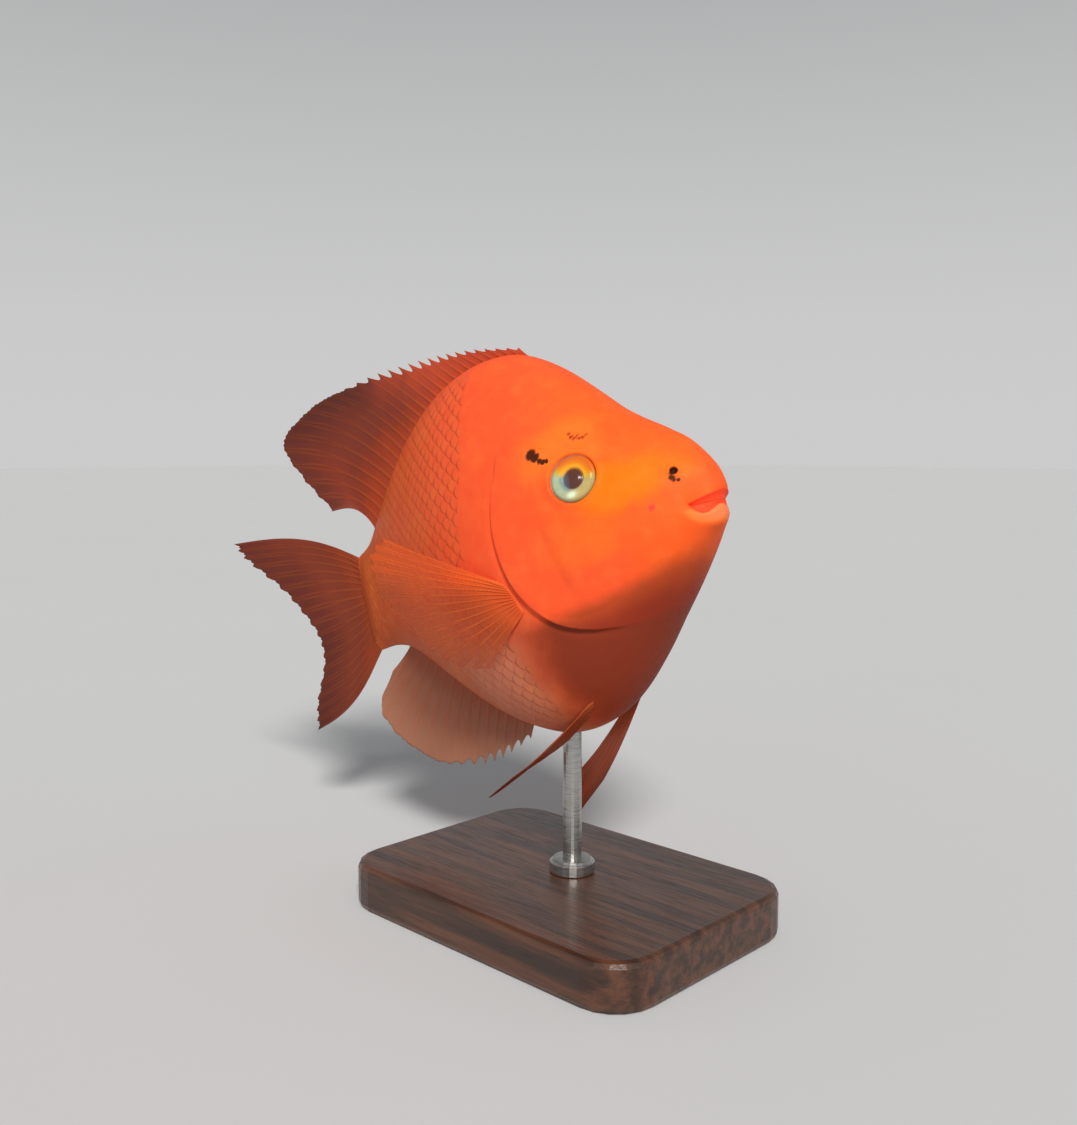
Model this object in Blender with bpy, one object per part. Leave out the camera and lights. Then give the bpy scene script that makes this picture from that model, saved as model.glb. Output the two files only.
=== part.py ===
"""Blood parrot cichlid, life size, as a still model held over a flat base by one short rod.

The fish is laid out in a straight frame, in millimetres: s runs back from the tip of the snout,
y is positive on the fish's left and z is up from the line of its backbone. settle() bends that
frame as the fish bends, pitches the head up and sets the fish over the stand, in metres.
"""

import math

import bmesh
import bpy
import numpy as np
from mathutils.bvhtree import BVHTree

MM = 0.001
GAP = 0.3

# Pose of the fish over the stand
PIVOT_S = 60.0
PIVOT_X = -6.0
PIVOT_HEIGHT = 102.0
PITCH = math.radians(18.4)
ROLL = math.radians(2.0)
BODY_SWING = math.radians(4.0)
BODY_SWING_SPAN = (40, 120)
TAIL_SWING = math.radians(-9.0)
TAIL_SWING_SPAN = (125, 200)
TRACK_STEP = 0.5
TRACK_END = 240.0

# Body, cut into head, torso and tail stalk
SNOUT_SECTION = 14.0
SHOULDER_SECTION = 66.0
STALK_CUT = 112.0
BODY_END = 145.0
SIDE_POINTS = 24
UPPER_FULLNESS = 1.9
LOWER_FULLNESS = 2.3

# Mouth, as places in s, y, z and the lips' outer edge in s. The lips swell most at their crest,
# a share of the way out from the opening, and less by the margin at the opening itself.
MOUTH_CORNER = (8.2, -7.1, -7.6)
UPPER_LIP = (2.6, -6.0)
LOWER_LIP = (4.3, -8.8)
LOWER_LIP_DIP = 2.2
UPPER_LIP_BULGE = 0.45
LOWER_LIP_BULGE = 0.55
LIP_MARGIN = 0.37
LIP_CREST = 0.22
LIP_TOP = 2.3
LIP_FOOT = 6.0
LIP_CORNER = 9.6
LIP_STEPS = (0, 0.22, 0.48, 0.75)
MOUTH_DEPTHS = ((6.0, 0.5), (3.5, 0.8), (1.4, 0.94))

# Eyes and nostrils, as places in s, z
EYE_PLACE = (29.9, 6.2)
EYE_RADIUS = 6.0
EYE_HALF_DEPTH = 3.4
EYE_SINK = 2.1
NOSTRIL_PLACE = (8.9, 0.8)
NOSTRIL_RADIUS = 0.9
NOSTRIL_DEPTH = 1.2

# Gill cover's rim, whose line meets the throat at a slant, and the ridge on the cheek
THROAT_SLIP = 1.8
THROAT_STEP = 0.3
RIM_HEIGHT = 0.9
RIM_SPREAD = 4.0
CHEEK_S = 37.0
CHEEK_SWEEP = 4.5
CHEEK_SPREAD = 1.8
CHEEK_RIDGE = 0.4

# Fins. u runs from 0 at a fin's first ray to 1 at its last. An edge has rows of u, s, z, a root
# holds its two ends, and a notch tells how far the membrane falls short of the rays' tips.
RAY_FOOT = 0.26
RIDGE = 0.3
FIN_TIP = 0.55
ACROSS = np.array([0, 1.0, 0])

DORSAL_RAYS = 28
DORSAL_ROOT = (50.0, 133.0)
DORSAL_THICKNESS = 1.2
DORSAL_EDGE = [(0, 53, 48.6), (0.2, 74, 56), (0.4, 97, 61.5), (0.6, 122, 64.5),
               (0.75, 147, 64), (0.84, 161, 58), (0.92, 154, 44), (1, 143, 30)]
DORSAL_NOTCH = [(0, 0.3), (0.5, 0.16), (0.62, 0.03), (1, 0.03)]
DORSAL_BOW = 3.5
DORSAL_SWAY = 8.0

ANAL_RAYS = 16
ANAL_ROOT = (82.0, 130.0)
ANAL_THICKNESS = 1.1
ANAL_EDGE = [(0, 86, -52), (0.2, 99, -55.5), (0.45, 117, -55.5), (0.65, 133, -51),
             (0.8, 146, -41.5), (0.9, 149.5, -32.5), (1, 139, -23)]
ANAL_NOTCH = [(0, 0.3), (0.35, 0.12), (0.5, 0.03), (1, 0.03)]
ANAL_SWAY = 2.5

CAUDAL_RAYS = 18
CAUDAL_ROOT = (-14.8, 14.0)
CAUDAL_THICKNESS = 1.8
CAUDAL_EDGE = [(0, 187, -34.5), (0.15, 181, -26), (0.35, 171, -12), (0.5, 169, -3),
               (0.65, 177, 9), (0.85, 192, 26), (1, 197, 34)]
CAUDAL_NOTCH = [(0, 0.02), (1, 0.02)]
CAUDAL_SPREAD = 4.0
CAUDAL_SWAY = (2.0, 9.0)

# Paired fins: rays fan out from a root on the flank by an angle in degrees
CAMBER = 1.5
PAIRED_NOTCH = [(0, 0.03), (1, 0.03)]
PECTORAL_RAYS = 14
PECTORAL_ROOT = ((56.5, -12), (52.5, -21))
PECTORAL_THICKNESS = 1.3
PECTORAL_SEAT = 1.0
PECTORAL_ANGLES = [(0, 34), (0.5, 8), (1, -34)]
PECTORAL_LENGTHS = [(0, 38), (0.15, 44), (0.35, 43), (0.6, 35), (0.8, 28), (1, 19)]
PELVIC_RAYS = 6
PELVIC_ROOT = ((50, -46), (56, -50))
PELVIC_THICKNESS = 1.2
PELVIC_SEAT = 0.6
PELVIC_DROP_RIGHT = 0.42
PELVIC_DROP_LEFT = 0.8
PELVIC_ANGLES = [(0, 0), (1, 15)]
PELVIC_LENGTHS = [(0, 34), (0.2, 46), (0.5, 38), (1, 25)]

# Stand
BASE_LENGTH = 100.0
BASE_WIDTH = 70.0
BASE_THICKNESS = 12.0
BASE_CORNER = 12.0
BASE_BEVEL = 1.5
CORNER_STEPS = 5
ROD_S = 69.0
ROD_RADIUS = 2.5
ROD_SIDES = 20
ROD_CLEARANCE = 0.316
COLLAR_RADIUS = 6.0
COLLAR_HEIGHT = 3.5
COLLAR_BEVEL = 1.0


def curve(points):
    """Smooth curve y(x) through a few points."""
    x, y = np.array(points, float).T
    slope = np.gradient(y, x)

    def at(value):
        value = np.clip(np.asarray(value, float), x[0], x[-1])
        i = np.clip(np.searchsorted(x, value, side="right") - 1, 0, len(x) - 2)
        wide = x[i + 1] - x[i]
        t = (value - x[i]) / wide
        ends = y[i] * (1 + 2 * t) * (1 - t) ** 2 + y[i + 1] * t * t * (3 - 2 * t)
        return ends + wide * t * (1 - t) * (slope[i] * (1 - t) - slope[i + 1] * t)

    return at


def ease(value, low, high):
    """Smooth step from 0 at low to 1 at high."""
    t = np.clip((np.asarray(value, float) - low) / (high - low), 0, 1)
    return t * t * (3 - 2 * t)


# Outline of the body from the side, height of its widest line, and half breadth, along s
back = curve([(0, -6.6), (1.5, -4.4), (4, 1), (9, 8.4), (14, 12.7), (23, 19.6), (28, 24),
              (34, 30.6), (42, 39), (51, 45.6), (62, 48.8), (74, 49), (88, 46.2), (102, 40.6),
              (116, 32.6), (128, 23.8), (136, 18), (147, 14.6)])
belly = curve([(0, -8), (1.5, -9.3), (4, -12.2), (8, -15), (14, -20.6), (21, -27),
               (29, -34), (38, -42.2), (47, -48.8), (57, -52.4), (66, -52.8), (76, -50),
               (88, -44.2), (102, -34.8), (116, -24.6), (128, -17.8), (136, -15.8), (147, -15.6)])
widest = curve([(0, -7), (14, -6), (40, -4), (80, -1.5), (147, -0.5)])
breadth = curve([(0, 1.8), (1.5, 2.9), (4, 5.2), (8, 8.5), (14, 12.8), (22, 17.1), (30, 20.2),
                 (38, 22.2), (48, 23.6), (60, 24), (75, 22.4), (90, 18.8), (105, 14.2),
                 (120, 9.6), (132, 6.4), (140, 4.4), (147, 1.0)])


def half_width(s, z):
    """Half breadth of the plain body at a place in its side view."""
    top, low, mid = back(s), belly(s), widest(s)
    above = z > mid
    rise = np.where(above, (z - mid) / (top - mid), (mid - z) / (mid - low))
    fullness = np.where(above, UPPER_FULLNESS, LOWER_FULLNESS)
    return breadth(s) * np.sqrt(1 - np.clip(rise, 0, 1) ** fullness)


# Free edge of the gill cover from the throat, and its line on up to the nape
GILL_EDGE = np.array([(22.5, float(belly(22.5))), (28.5, -30), (36, -29.2), (43.2, -25.9),
                      (49.5, -19.2), (53.2, -11), (54.4, -3), (53.2, 6), (50.6, 14), (49, 24), (49, 34),
                      (50.2, float(back(50.2)))])


def along(points, fraction):
    """Places at given fractions of the length of a smooth line through a few points."""
    steps = np.concatenate([[0], np.cumsum(np.hypot(*np.diff(points, axis=0).T))])
    steps = steps / steps[-1]
    return np.stack([curve(np.stack([steps, points[:, k]], 1))(fraction) for k in (0, 1)], -1)


GILL_TRACE = along(GILL_EDGE[2:9], np.linspace(0, 1, 60))
SIDE = (1 - np.cos(np.pi * np.linspace(0, 1, SIDE_POINTS + 1))) / 2


def as_share(line):
    """A line in the side view as distance back and share of the body's height there."""
    s, z = line[:, 0], line[:, 1]
    share = (z - belly(s)) / (back(s) - belly(s))
    share[0], share[-1] = 0, 1
    return np.stack([s, share], -1)


def section_line(s):
    """Upright section of the body."""
    return np.stack([np.full_like(SIDE, s), SIDE], -1)


def gill_line(offset=0.0):
    """Edge of the gill cover and nape, or a line a little behind it."""
    line = along(GILL_EDGE, SIDE)
    run = np.gradient(line, axis=0)
    normal = np.stack([run[:, 1], -run[:, 0]], -1) / np.hypot(*run.T)[:, None]
    line = line + offset * normal
    throat = GILL_EDGE[0, 0] + THROAT_SLIP * offset
    line[0] = throat, belly(throat)
    line[1] = line[0] + THROAT_STEP * (line[2] - line[0])
    return as_share(line)


def snout_line():
    """Outer edge of the lips, from the middle of the lower lip to that of the upper."""
    turn = np.sin(np.pi * np.linspace(0, 1, SIDE_POINTS + 1)) ** 2
    middle = np.where(np.arange(SIDE_POINTS + 1) * 2 < SIDE_POINTS, LIP_FOOT, LIP_TOP)
    return np.stack([middle + (LIP_CORNER - middle) * turn, SIDE ** 1.3], -1)


def relief(s, z):
    """How far the gill cover's rim and the cheek's ridge stand out."""
    away = np.min(np.hypot(s[:, None] - GILL_TRACE[:, 0], z[:, None] - GILL_TRACE[:, 1]), axis=1)
    rim = RIM_HEIGHT * np.exp(-((away / RIM_SPREAD) ** 2))
    arc = CHEEK_S + CHEEK_SWEEP * np.sin((z + 8) / 22)
    ridge = CHEEK_RIDGE * np.exp(-(((s - arc) / CHEEK_SPREAD) ** 2))
    return rim + ridge * ease(z, -27, -20) * (1 - ease(z, -4, 4))


def ring(line, raised=False):
    """Closed ring round the body: up its right side and down its left, as rows of s, y, z."""
    s = line[:, 0]
    z = belly(s) + line[:, 1] * (back(s) - belly(s))
    y = half_width(s, z)
    if raised:
        y = y + relief(s, z) * y / breadth(s)
    y[0] = y[-1] = 0
    right = np.stack([s, -y, z], -1)
    left = np.stack([s, y, z], -1)[-2:0:-1]
    return np.concatenate([right, left])


def rings_between(first, last, count, raised=False):
    """Rings from one line to another in even steps."""
    steps = np.linspace(0, 1, count + 1)
    return [ring(first * (1 - t) + last * t, raised) for t in steps]


def heading(s):
    """Direction of the bent backbone, in radians from straight."""
    return BODY_SWING * ease(s, *BODY_SWING_SPAN) + TAIL_SWING * ease(s, *TAIL_SWING_SPAN)


TRACK_S = np.arange(0, TRACK_END + TRACK_STEP, TRACK_STEP)
TRACK_X = -np.concatenate([[0], np.cumsum(np.cos(heading(TRACK_S[1:])) * TRACK_STEP)])
TRACK_Y = np.concatenate([[0], np.cumsum(np.sin(heading(TRACK_S[1:])) * TRACK_STEP)])


def settle(points):
    """Straight frame in millimetres to the posed fish in metres."""
    s, y, z = np.asarray(points, float).T
    turn = heading(s)
    x = np.interp(s, TRACK_S, TRACK_X) + y * np.sin(turn) + PIVOT_S
    y = np.interp(s, TRACK_S, TRACK_Y) + y * np.cos(turn)
    y, z = y * math.cos(ROLL) - z * math.sin(ROLL), y * math.sin(ROLL) + z * math.cos(ROLL)
    x, z = x * math.cos(PITCH) - z * math.sin(PITCH), x * math.sin(PITCH) + z * math.cos(PITCH)
    return np.stack([x + PIVOT_X, y, z + PIVOT_HEIGHT], -1) * MM


def material(name, colour, roughness, metallic=0.0):
    made = bpy.data.materials.new(name)
    made.use_nodes = True
    shader = made.node_tree.nodes["Principled BSDF"]
    shader.inputs["Base Color"].default_value = (*colour, 1)
    shader.inputs["Roughness"].default_value = roughness
    shader.inputs["Metallic"].default_value = metallic
    return made


def add_node(name, points, faces, finish, smooth_angle=40):
    """Mesh object from points in metres, with its faces turned outward."""
    mesh = bpy.data.meshes.new(name)
    mesh.from_pydata([tuple(p) for p in points], [], faces)
    shape = bmesh.new()
    shape.from_mesh(mesh)
    bmesh.ops.recalc_face_normals(shape, faces=shape.faces)
    shape.to_mesh(mesh)
    shape.free()
    mesh.shade_smooth()
    mesh.set_sharp_from_angle(angle=math.radians(smooth_angle))
    mesh.materials.append(finish)
    made = bpy.data.objects.new(name, mesh)
    bpy.context.scene.collection.objects.link(made)
    return made


def loft(rings, front_tip=None):
    """Faces over a row of rings, with a cap strung from side to side at each open end."""
    size = len(rings[0])
    half = size // 2
    points = [p for r in rings for p in r]
    faces = []
    for i in range(len(rings) - 1):
        for j in range(size):
            k = (j + 1) % size
            faces.append((i * size + j, i * size + k, (i + 1) * size + k, (i + 1) * size + j))
    ends = [len(rings) - 1]
    if front_tip is None:
        ends.append(0)
    for i in ends:
        base = i * size
        faces.append((base, base + 1, base + size - 1))
        for j in range(1, half - 1):
            faces.append((base + j, base + j + 1, base + size - j - 1, base + size - j))
        faces.append((base + half - 1, base + half, base + half + 1))
    if front_tip is not None:
        points.append(front_tip)
        faces += [(j, len(points) - 1, (j + 1) % size) for j in range(size)]
    return np.array(points), faces


def lip_rings(outer):
    """Rings from the back of the mouth, over the lips, to the lips' outer edge."""
    around = np.linspace(0, 2 * np.pi, 2 * SIDE_POINTS, endpoint=False)
    lower = np.cos(around / 2) ** 2
    side = np.sin(around)
    turn = side ** 2
    low = (np.abs((around + np.pi) % (2 * np.pi) - np.pi) < np.pi / 2).astype(float)
    middle_s = low * LOWER_LIP[0] + (1 - low) * UPPER_LIP[0]
    middle_z = low * LOWER_LIP[1] + (1 - low) * UPPER_LIP[1]
    s = middle_s + (MOUTH_CORNER[0] - middle_s) * turn
    y = MOUTH_CORNER[1] * side
    z = middle_z + (MOUTH_CORNER[2] - middle_z) * np.abs(side) ** 1.5
    z = z - LOWER_LIP_DIP * low * np.sin(2 * around) ** 2
    opening = np.stack([s, y, z], -1)
    bulge = (UPPER_LIP_BULGE * (1 - lower) + LOWER_LIP_BULGE * lower) * (1 - 0.5 * turn)
    out = np.stack([-np.ones_like(side), 0.5 * np.sign(y) * np.abs(side), 0.35 * -np.cos(around)], -1)
    rings = []
    centre = np.array([0, 0, MOUTH_CORNER[2] - 0.5])
    for depth, share in MOUTH_DEPTHS:
        inner = centre + (opening - centre) * [1, share, share]
        inner[:, 0] = opening[:, 0] + depth * (1 - 0.5 * turn)
        rings.append(inner)
    for share in LIP_STEPS:
        rise = LIP_MARGIN + (1 - LIP_MARGIN) * ease(share, 0, LIP_CREST)
        swell = bulge * rise * (1 - ease(share, LIP_CREST, 1))
        rings.append(opening * (1 - share) + outer * share + out * swell[:, None])
    return rings


def surface_frame(s, z, side):
    """Point on the plain flank and its outward direction, in the straight frame."""
    step = 0.2
    y = float(half_width(s, z))
    along_s = (float(half_width(s + step, z)) - float(half_width(s - step, z))) / (2 * step)
    along_z = (float(half_width(s, z + step)) - float(half_width(s, z - step))) / (2 * step)
    normal = np.array([-along_s, 1.0 * side, -along_z])
    return np.array([s, y * side, z]), normal / np.linalg.norm(normal)


def ellipsoid(name, place, side, radius, depth, sink, finish, turns=24, rows=12):
    """Flattened ball set into the flank, its short way along the flank's outward direction."""
    middle, normal = surface_frame(*place, side)
    across = np.cross([0, 0, 1.0], normal)
    across /= np.linalg.norm(across)
    up = np.cross(normal, across)
    centre = middle - normal * sink
    points = [centre + normal * depth]
    for i in range(1, rows):
        tilt = math.pi * i / rows
        for j in range(turns):
            turn = 2 * math.pi * j / turns
            outward = across * math.cos(turn) + up * math.sin(turn)
            points.append(centre + normal * depth * math.cos(tilt) + outward * radius * math.sin(tilt))
    points.append(centre - normal * depth)
    last = len(points) - 1
    faces = [(0, 1 + j, 1 + (j + 1) % turns) for j in range(turns)]
    for i in range(rows - 2):
        for j in range(turns):
            k = (j + 1) % turns
            a = 1 + i * turns
            faces.append((a + j, a + turns + j, a + turns + k, a + k))
    a = 1 + (rows - 2) * turns
    faces += [(a + (j + 1) % turns, a + j, last) for j in range(turns)]
    return add_node(name, settle(points), faces, finish)


def cut(target, cutter):
    """Take a hidden cutter's shape out of an object."""
    cutter.hide_render = True
    cutter.display_type = "WIRE"
    step = target.modifiers.new(cutter.name, "BOOLEAN")
    step.operation = "DIFFERENCE"
    step.object = cutter


def build_body(skin):
    outer = ring(snout_line())
    face = rings_between(snout_line(), section_line(SNOUT_SECTION), 5)
    cheeks = rings_between(section_line(SNOUT_SECTION), gill_line(), 14, raised=True)
    lips = lip_rings(outer)
    mouth_end = lips[0].mean(axis=0) + [0.8, 0, 0]
    points, faces = loft(lips + face[:-1] + cheeks, mouth_end)
    head = add_node("head", settle(points), faces, skin)

    shoulder = rings_between(gill_line(GAP), section_line(SHOULDER_SECTION), 9)
    flank = rings_between(section_line(SHOULDER_SECTION), section_line(STALK_CUT), 11)
    points, faces = loft(shoulder[:-1] + flank)
    add_node("torso", settle(points), faces, skin)

    stalk = rings_between(section_line(STALK_CUT + GAP), section_line(BODY_END), 8)
    points, faces = loft(stalk)
    add_node("tail_stalk", settle(points), faces, skin)
    return head


def build_eyes(head, finish):
    """Eyes in sockets a gap wider all round, and the nostrils' pits."""
    for side, word in ((-1, "right"), (1, "left")):
        ellipsoid("eye_" + word, EYE_PLACE, side, EYE_RADIUS, EYE_HALF_DEPTH, EYE_SINK, finish)
        cut(head, ellipsoid("eye_cutter_" + word, EYE_PLACE, side, EYE_RADIUS + GAP,
                            EYE_HALF_DEPTH + GAP, EYE_SINK, finish))
        cut(head, ellipsoid("nostril_cutter_" + word, NOSTRIL_PLACE, side, NOSTRIL_RADIUS,
                            NOSTRIL_DEPTH, 0, finish, turns=8, rows=4))


def ray_columns(rays, low=0.0, high=1.0):
    """Places across a fin from low to high: each ray's crest, with a foot on both sides of it."""
    step = 1 / (rays - 1)
    columns = [] if low == 0 else [(low, False)]
    for i in range(rays):
        for off in (-RAY_FOOT, 0, RAY_FOOT):
            u = (i + off) * step
            if low - 1e-6 <= u <= high + 1e-6:
                columns.append((min(max(u, 0), 1), off == 0))
    return columns if high == 1 else columns + [(high, False)]


def fin(name, columns, rows, path, normal, root_thickness, notch, finish):
    """Thin fin swept from its root to its tips, its rays raised on both faces, split alike on both.

    path(u, t) is its middle surface, with t running from 0 at the root to 1 at the tips.
    """
    shortfall = curve(notch)
    grid = {}
    points = []
    for face in (-0.5, 0.5):
        for i, (u, crest) in enumerate(columns):
            reach = 1 if crest else 1 - float(shortfall(u))
            for j in range(rows + 1):
                t = j / rows
                thick = root_thickness + (FIN_TIP - root_thickness) * t ** 0.6
                thick += 2 * RIDGE * crest * (1 - 0.75 * t) * float(ease(t, -0.1, 0.2))
                grid[face, i, j] = len(points)
                points.append(path(u, t * reach) + normal * thick * face)
    faces = []
    last = len(columns) - 1

    def patch(a, b, c, d):
        faces.append((a, b, c))
        faces.append((a, c, d))

    for face in (-0.5, 0.5):
        for i in range(last):
            for j in range(rows):
                patch(grid[face, i, j], grid[face, i + 1, j],
                      grid[face, i + 1, j + 1], grid[face, i, j + 1])
    for i in range(last):
        for j in (0, rows):
            patch(grid[-0.5, i, j], grid[-0.5, i + 1, j], grid[0.5, i + 1, j], grid[0.5, i, j])
    for j in range(rows):
        for i in (0, last):
            patch(grid[-0.5, i, j], grid[-0.5, i, j + 1], grid[0.5, i, j + 1], grid[0.5, i, j])
    return add_node(name, settle(points), faces, finish)


def edge_curves(edge):
    """Outer edge of a fin as s(u) and z(u)."""
    rows = np.array(edge, float)
    return curve(rows[:, [0, 1]]), curve(rows[:, [0, 2]])


def between(ends, u):
    return ends[0] + (ends[1] - ends[0]) * u


def build_dorsal_fin(finish):
    edge_s, edge_z = edge_curves(DORSAL_EDGE)

    def path(u, t):
        s0 = between(DORSAL_ROOT, u)
        z0 = float(back(s0)) + GAP
        bow = DORSAL_BOW * math.sin(math.pi * t) * ease(u, 0.5, 0.8)
        sway = DORSAL_SWAY * t * t * ease(u, 0.4, 0.9)
        return np.array([s0 + (edge_s(u) - s0) * t, -sway, z0 + (edge_z(u) - z0) * t + bow])

    fin("dorsal_fin", ray_columns(DORSAL_RAYS), 6, path, ACROSS, DORSAL_THICKNESS, DORSAL_NOTCH, finish)


def build_anal_fin(finish):
    edge_s, edge_z = edge_curves(ANAL_EDGE)

    def path(u, t):
        s0 = between(ANAL_ROOT, u)
        z0 = float(belly(s0)) - GAP
        sway = ANAL_SWAY * t * t * ease(u, 0.3, 1)
        return np.array([s0 + (edge_s(u) - s0) * t, -sway, z0 + (edge_z(u) - z0) * t])

    fin("anal_fin", ray_columns(ANAL_RAYS), 6, path, ACROSS, ANAL_THICKNESS, ANAL_NOTCH, finish)


def build_caudal_fin(finish):
    """Tail fin, as a lower and an upper lobe with the usual gap between them."""
    edge_s, edge_z = edge_curves(CAUDAL_EDGE)

    def path(u, t):
        s0 = BODY_END + GAP
        z0 = between(CAUDAL_ROOT, u)
        spread = CAUDAL_SPREAD * math.sin(math.pi * t) * (2 * u - 1)
        sway = t * t * (CAUDAL_SWAY[0] + CAUDAL_SWAY[1] * u)
        return np.array([s0 + (edge_s(u) - s0) * t, -sway, z0 + (edge_z(u) - z0) * t + spread])

    split = 0.5 * GAP / (CAUDAL_ROOT[1] - CAUDAL_ROOT[0])
    for word, low, high in (("lower", 0, 0.5 - split), ("upper", 0.5 + split, 1)):
        fin("caudal_fin_" + word, ray_columns(CAUDAL_RAYS, low, high), 7, path, ACROSS,
            CAUDAL_THICKNESS, CAUDAL_NOTCH, finish)


def fan(root, side, forward, spread, seat, angles, lengths):
    """Middle surface of a paired fin and its direction across, from rays fanned in one plane."""
    mirror = np.array([1, side, 1.0])
    forward = np.array(forward) * mirror
    forward /= np.linalg.norm(forward)
    spread = np.array(spread) * mirror
    spread = spread - forward * (spread @ forward)
    spread /= np.linalg.norm(spread)
    normal = np.cross(forward, spread)
    normal *= np.sign(normal @ surface_frame(*root[0], side)[1])
    angle_at = curve(angles)
    length_at = curve(lengths)

    def path(u, t):
        place, away = surface_frame(between((root[0][0], root[1][0]), u),
                                    between((root[0][1], root[1][1]), u), side)
        angle = math.radians(float(angle_at(u)))
        ray = forward * math.cos(angle) + spread * math.sin(angle)
        cup = normal * CAMBER * math.sin(math.pi * t * 0.8)
        return place + away * seat + ray * float(length_at(u)) * t + cup

    return path, normal


def build_paired_fins(finish):
    for side, word, drop in ((-1, "right", PELVIC_DROP_RIGHT), (1, "left", PELVIC_DROP_LEFT)):
        path, normal = fan(PECTORAL_ROOT, side, (1, 0.1, 0), (0, 0.15, 1), PECTORAL_SEAT,
                           PECTORAL_ANGLES, PECTORAL_LENGTHS)
        fin("pectoral_fin_" + word, ray_columns(PECTORAL_RAYS), 6, path, normal,
            PECTORAL_THICKNESS, PAIRED_NOTCH, finish)
        path, normal = fan(PELVIC_ROOT, side, (1, 0.12, -drop), (0, -0.8, 0.4), PELVIC_SEAT,
                           PELVIC_ANGLES, PELVIC_LENGTHS)
        fin("pelvic_fin_" + word, ray_columns(PELVIC_RAYS), 7, path, normal,
            PELVIC_THICKNESS, PAIRED_NOTCH, finish)


def build_base(wood):
    """Flat board with rounded corners, its underside at the floor."""
    outline = []
    for x_sign, y_sign, start in ((1, 1, 0), (-1, 1, 90), (-1, -1, 180), (1, -1, 270)):
        for step in range(CORNER_STEPS + 1):
            angle = math.radians(start + 90 * step / CORNER_STEPS)
            outline.append((x_sign * (BASE_LENGTH / 2 - BASE_CORNER) + BASE_CORNER * math.cos(angle),
                            y_sign * (BASE_WIDTH / 2 - BASE_CORNER) + BASE_CORNER * math.sin(angle)))
    count = len(outline)
    points = [(x * MM, y * MM, z * MM) for z in (0, BASE_THICKNESS) for x, y in outline]
    faces = [tuple(range(count)), tuple(range(count, 2 * count))]
    faces += [(j, (j + 1) % count, count + (j + 1) % count, count + j) for j in range(count)]
    base = add_node("stand_base", points, faces, wood)
    bevel = base.modifiers.new("edge", "BEVEL")
    bevel.width = BASE_BEVEL * MM
    bevel.segments = 2
    bevel.limit_method = "ANGLE"
    bevel.angle_limit = math.radians(50)


def build_rod(steel):
    """Short rod on a collar, its top cut to the slope of the belly just above it."""
    foot_x, foot_y, _ = settle([(ROD_S, 0, float(belly(ROD_S)))])[0] / MM
    shape = bmesh.new()
    shape.from_mesh(bpy.data.objects["torso"].data)
    belly_faces = BVHTree.FromBMesh(shape)
    shape.free()
    floor = BASE_THICKNESS + GAP

    def circle(radius, height=None):
        """Points round the rod at a height, or just under the belly."""
        points = []
        for j in range(ROD_SIDES):
            angle = 2 * math.pi * j / ROD_SIDES
            x, y = foot_x + radius * math.cos(angle), foot_y + radius * math.sin(angle)
            points.append((x, y, under_belly(x, y) if height is None else height))
        return points

    def under_belly(x, y):
        hit = belly_faces.ray_cast((x * MM, y * MM, floor * MM), (0, 0, 1))[0]
        return hit.z / MM - ROD_CLEARANCE

    rings = [circle(COLLAR_RADIUS, floor),
             circle(COLLAR_RADIUS, floor + COLLAR_HEIGHT - COLLAR_BEVEL),
             circle(COLLAR_RADIUS - COLLAR_BEVEL, floor + COLLAR_HEIGHT),
             circle(ROD_RADIUS, floor + COLLAR_HEIGHT),
             circle(ROD_RADIUS),
             circle(ROD_RADIUS / 2)]
    points = [(foot_x, foot_y, floor)] + [p for r in rings for p in r]
    points.append((foot_x, foot_y, under_belly(foot_x, foot_y)))
    faces = [(0, 1 + (j + 1) % ROD_SIDES, 1 + j) for j in range(ROD_SIDES)]
    for i in range(len(rings) - 1):
        for j in range(ROD_SIDES):
            k = (j + 1) % ROD_SIDES
            a = 1 + i * ROD_SIDES
            faces.append((a + j, a + k, a + ROD_SIDES + k, a + ROD_SIDES + j))
    a = 1 + (len(rings) - 1) * ROD_SIDES
    faces += [(a + j, a + (j + 1) % ROD_SIDES, len(points) - 1) for j in range(ROD_SIDES)]
    add_node("stand_rod", np.array(points) * MM, faces, steel)


def main():
    for thing in list(bpy.data.objects):
        bpy.data.objects.remove(thing)
    skin = material("skin", (0.80, 0.17, 0.035), 0.35)
    membrane = material("membrane", (0.55, 0.12, 0.04), 0.4)
    eye = material("eye", (0.35, 0.42, 0.30), 0.1)
    wood = material("stained_wood", (0.09, 0.05, 0.03), 0.45)
    steel = material("brushed_steel", (0.6, 0.6, 0.6), 0.3, 1.0)
    head = build_body(skin)
    build_eyes(head, eye)
    build_dorsal_fin(membrane)
    build_anal_fin(membrane)
    build_caudal_fin(membrane)
    build_paired_fins(membrane)
    build_base(wood)
    build_rod(steel)


main()
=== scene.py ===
"""Looks of the blood parrot cichlid: skin, scales, fins, eyes and the finish of its stand.

The fish is shaped in the same straight frame as its solids, in millimetres: s runs back from the
tip of the snout, y is positive on the fish's left and z is up. settle() turns that into the pose.
"""

import math

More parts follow.
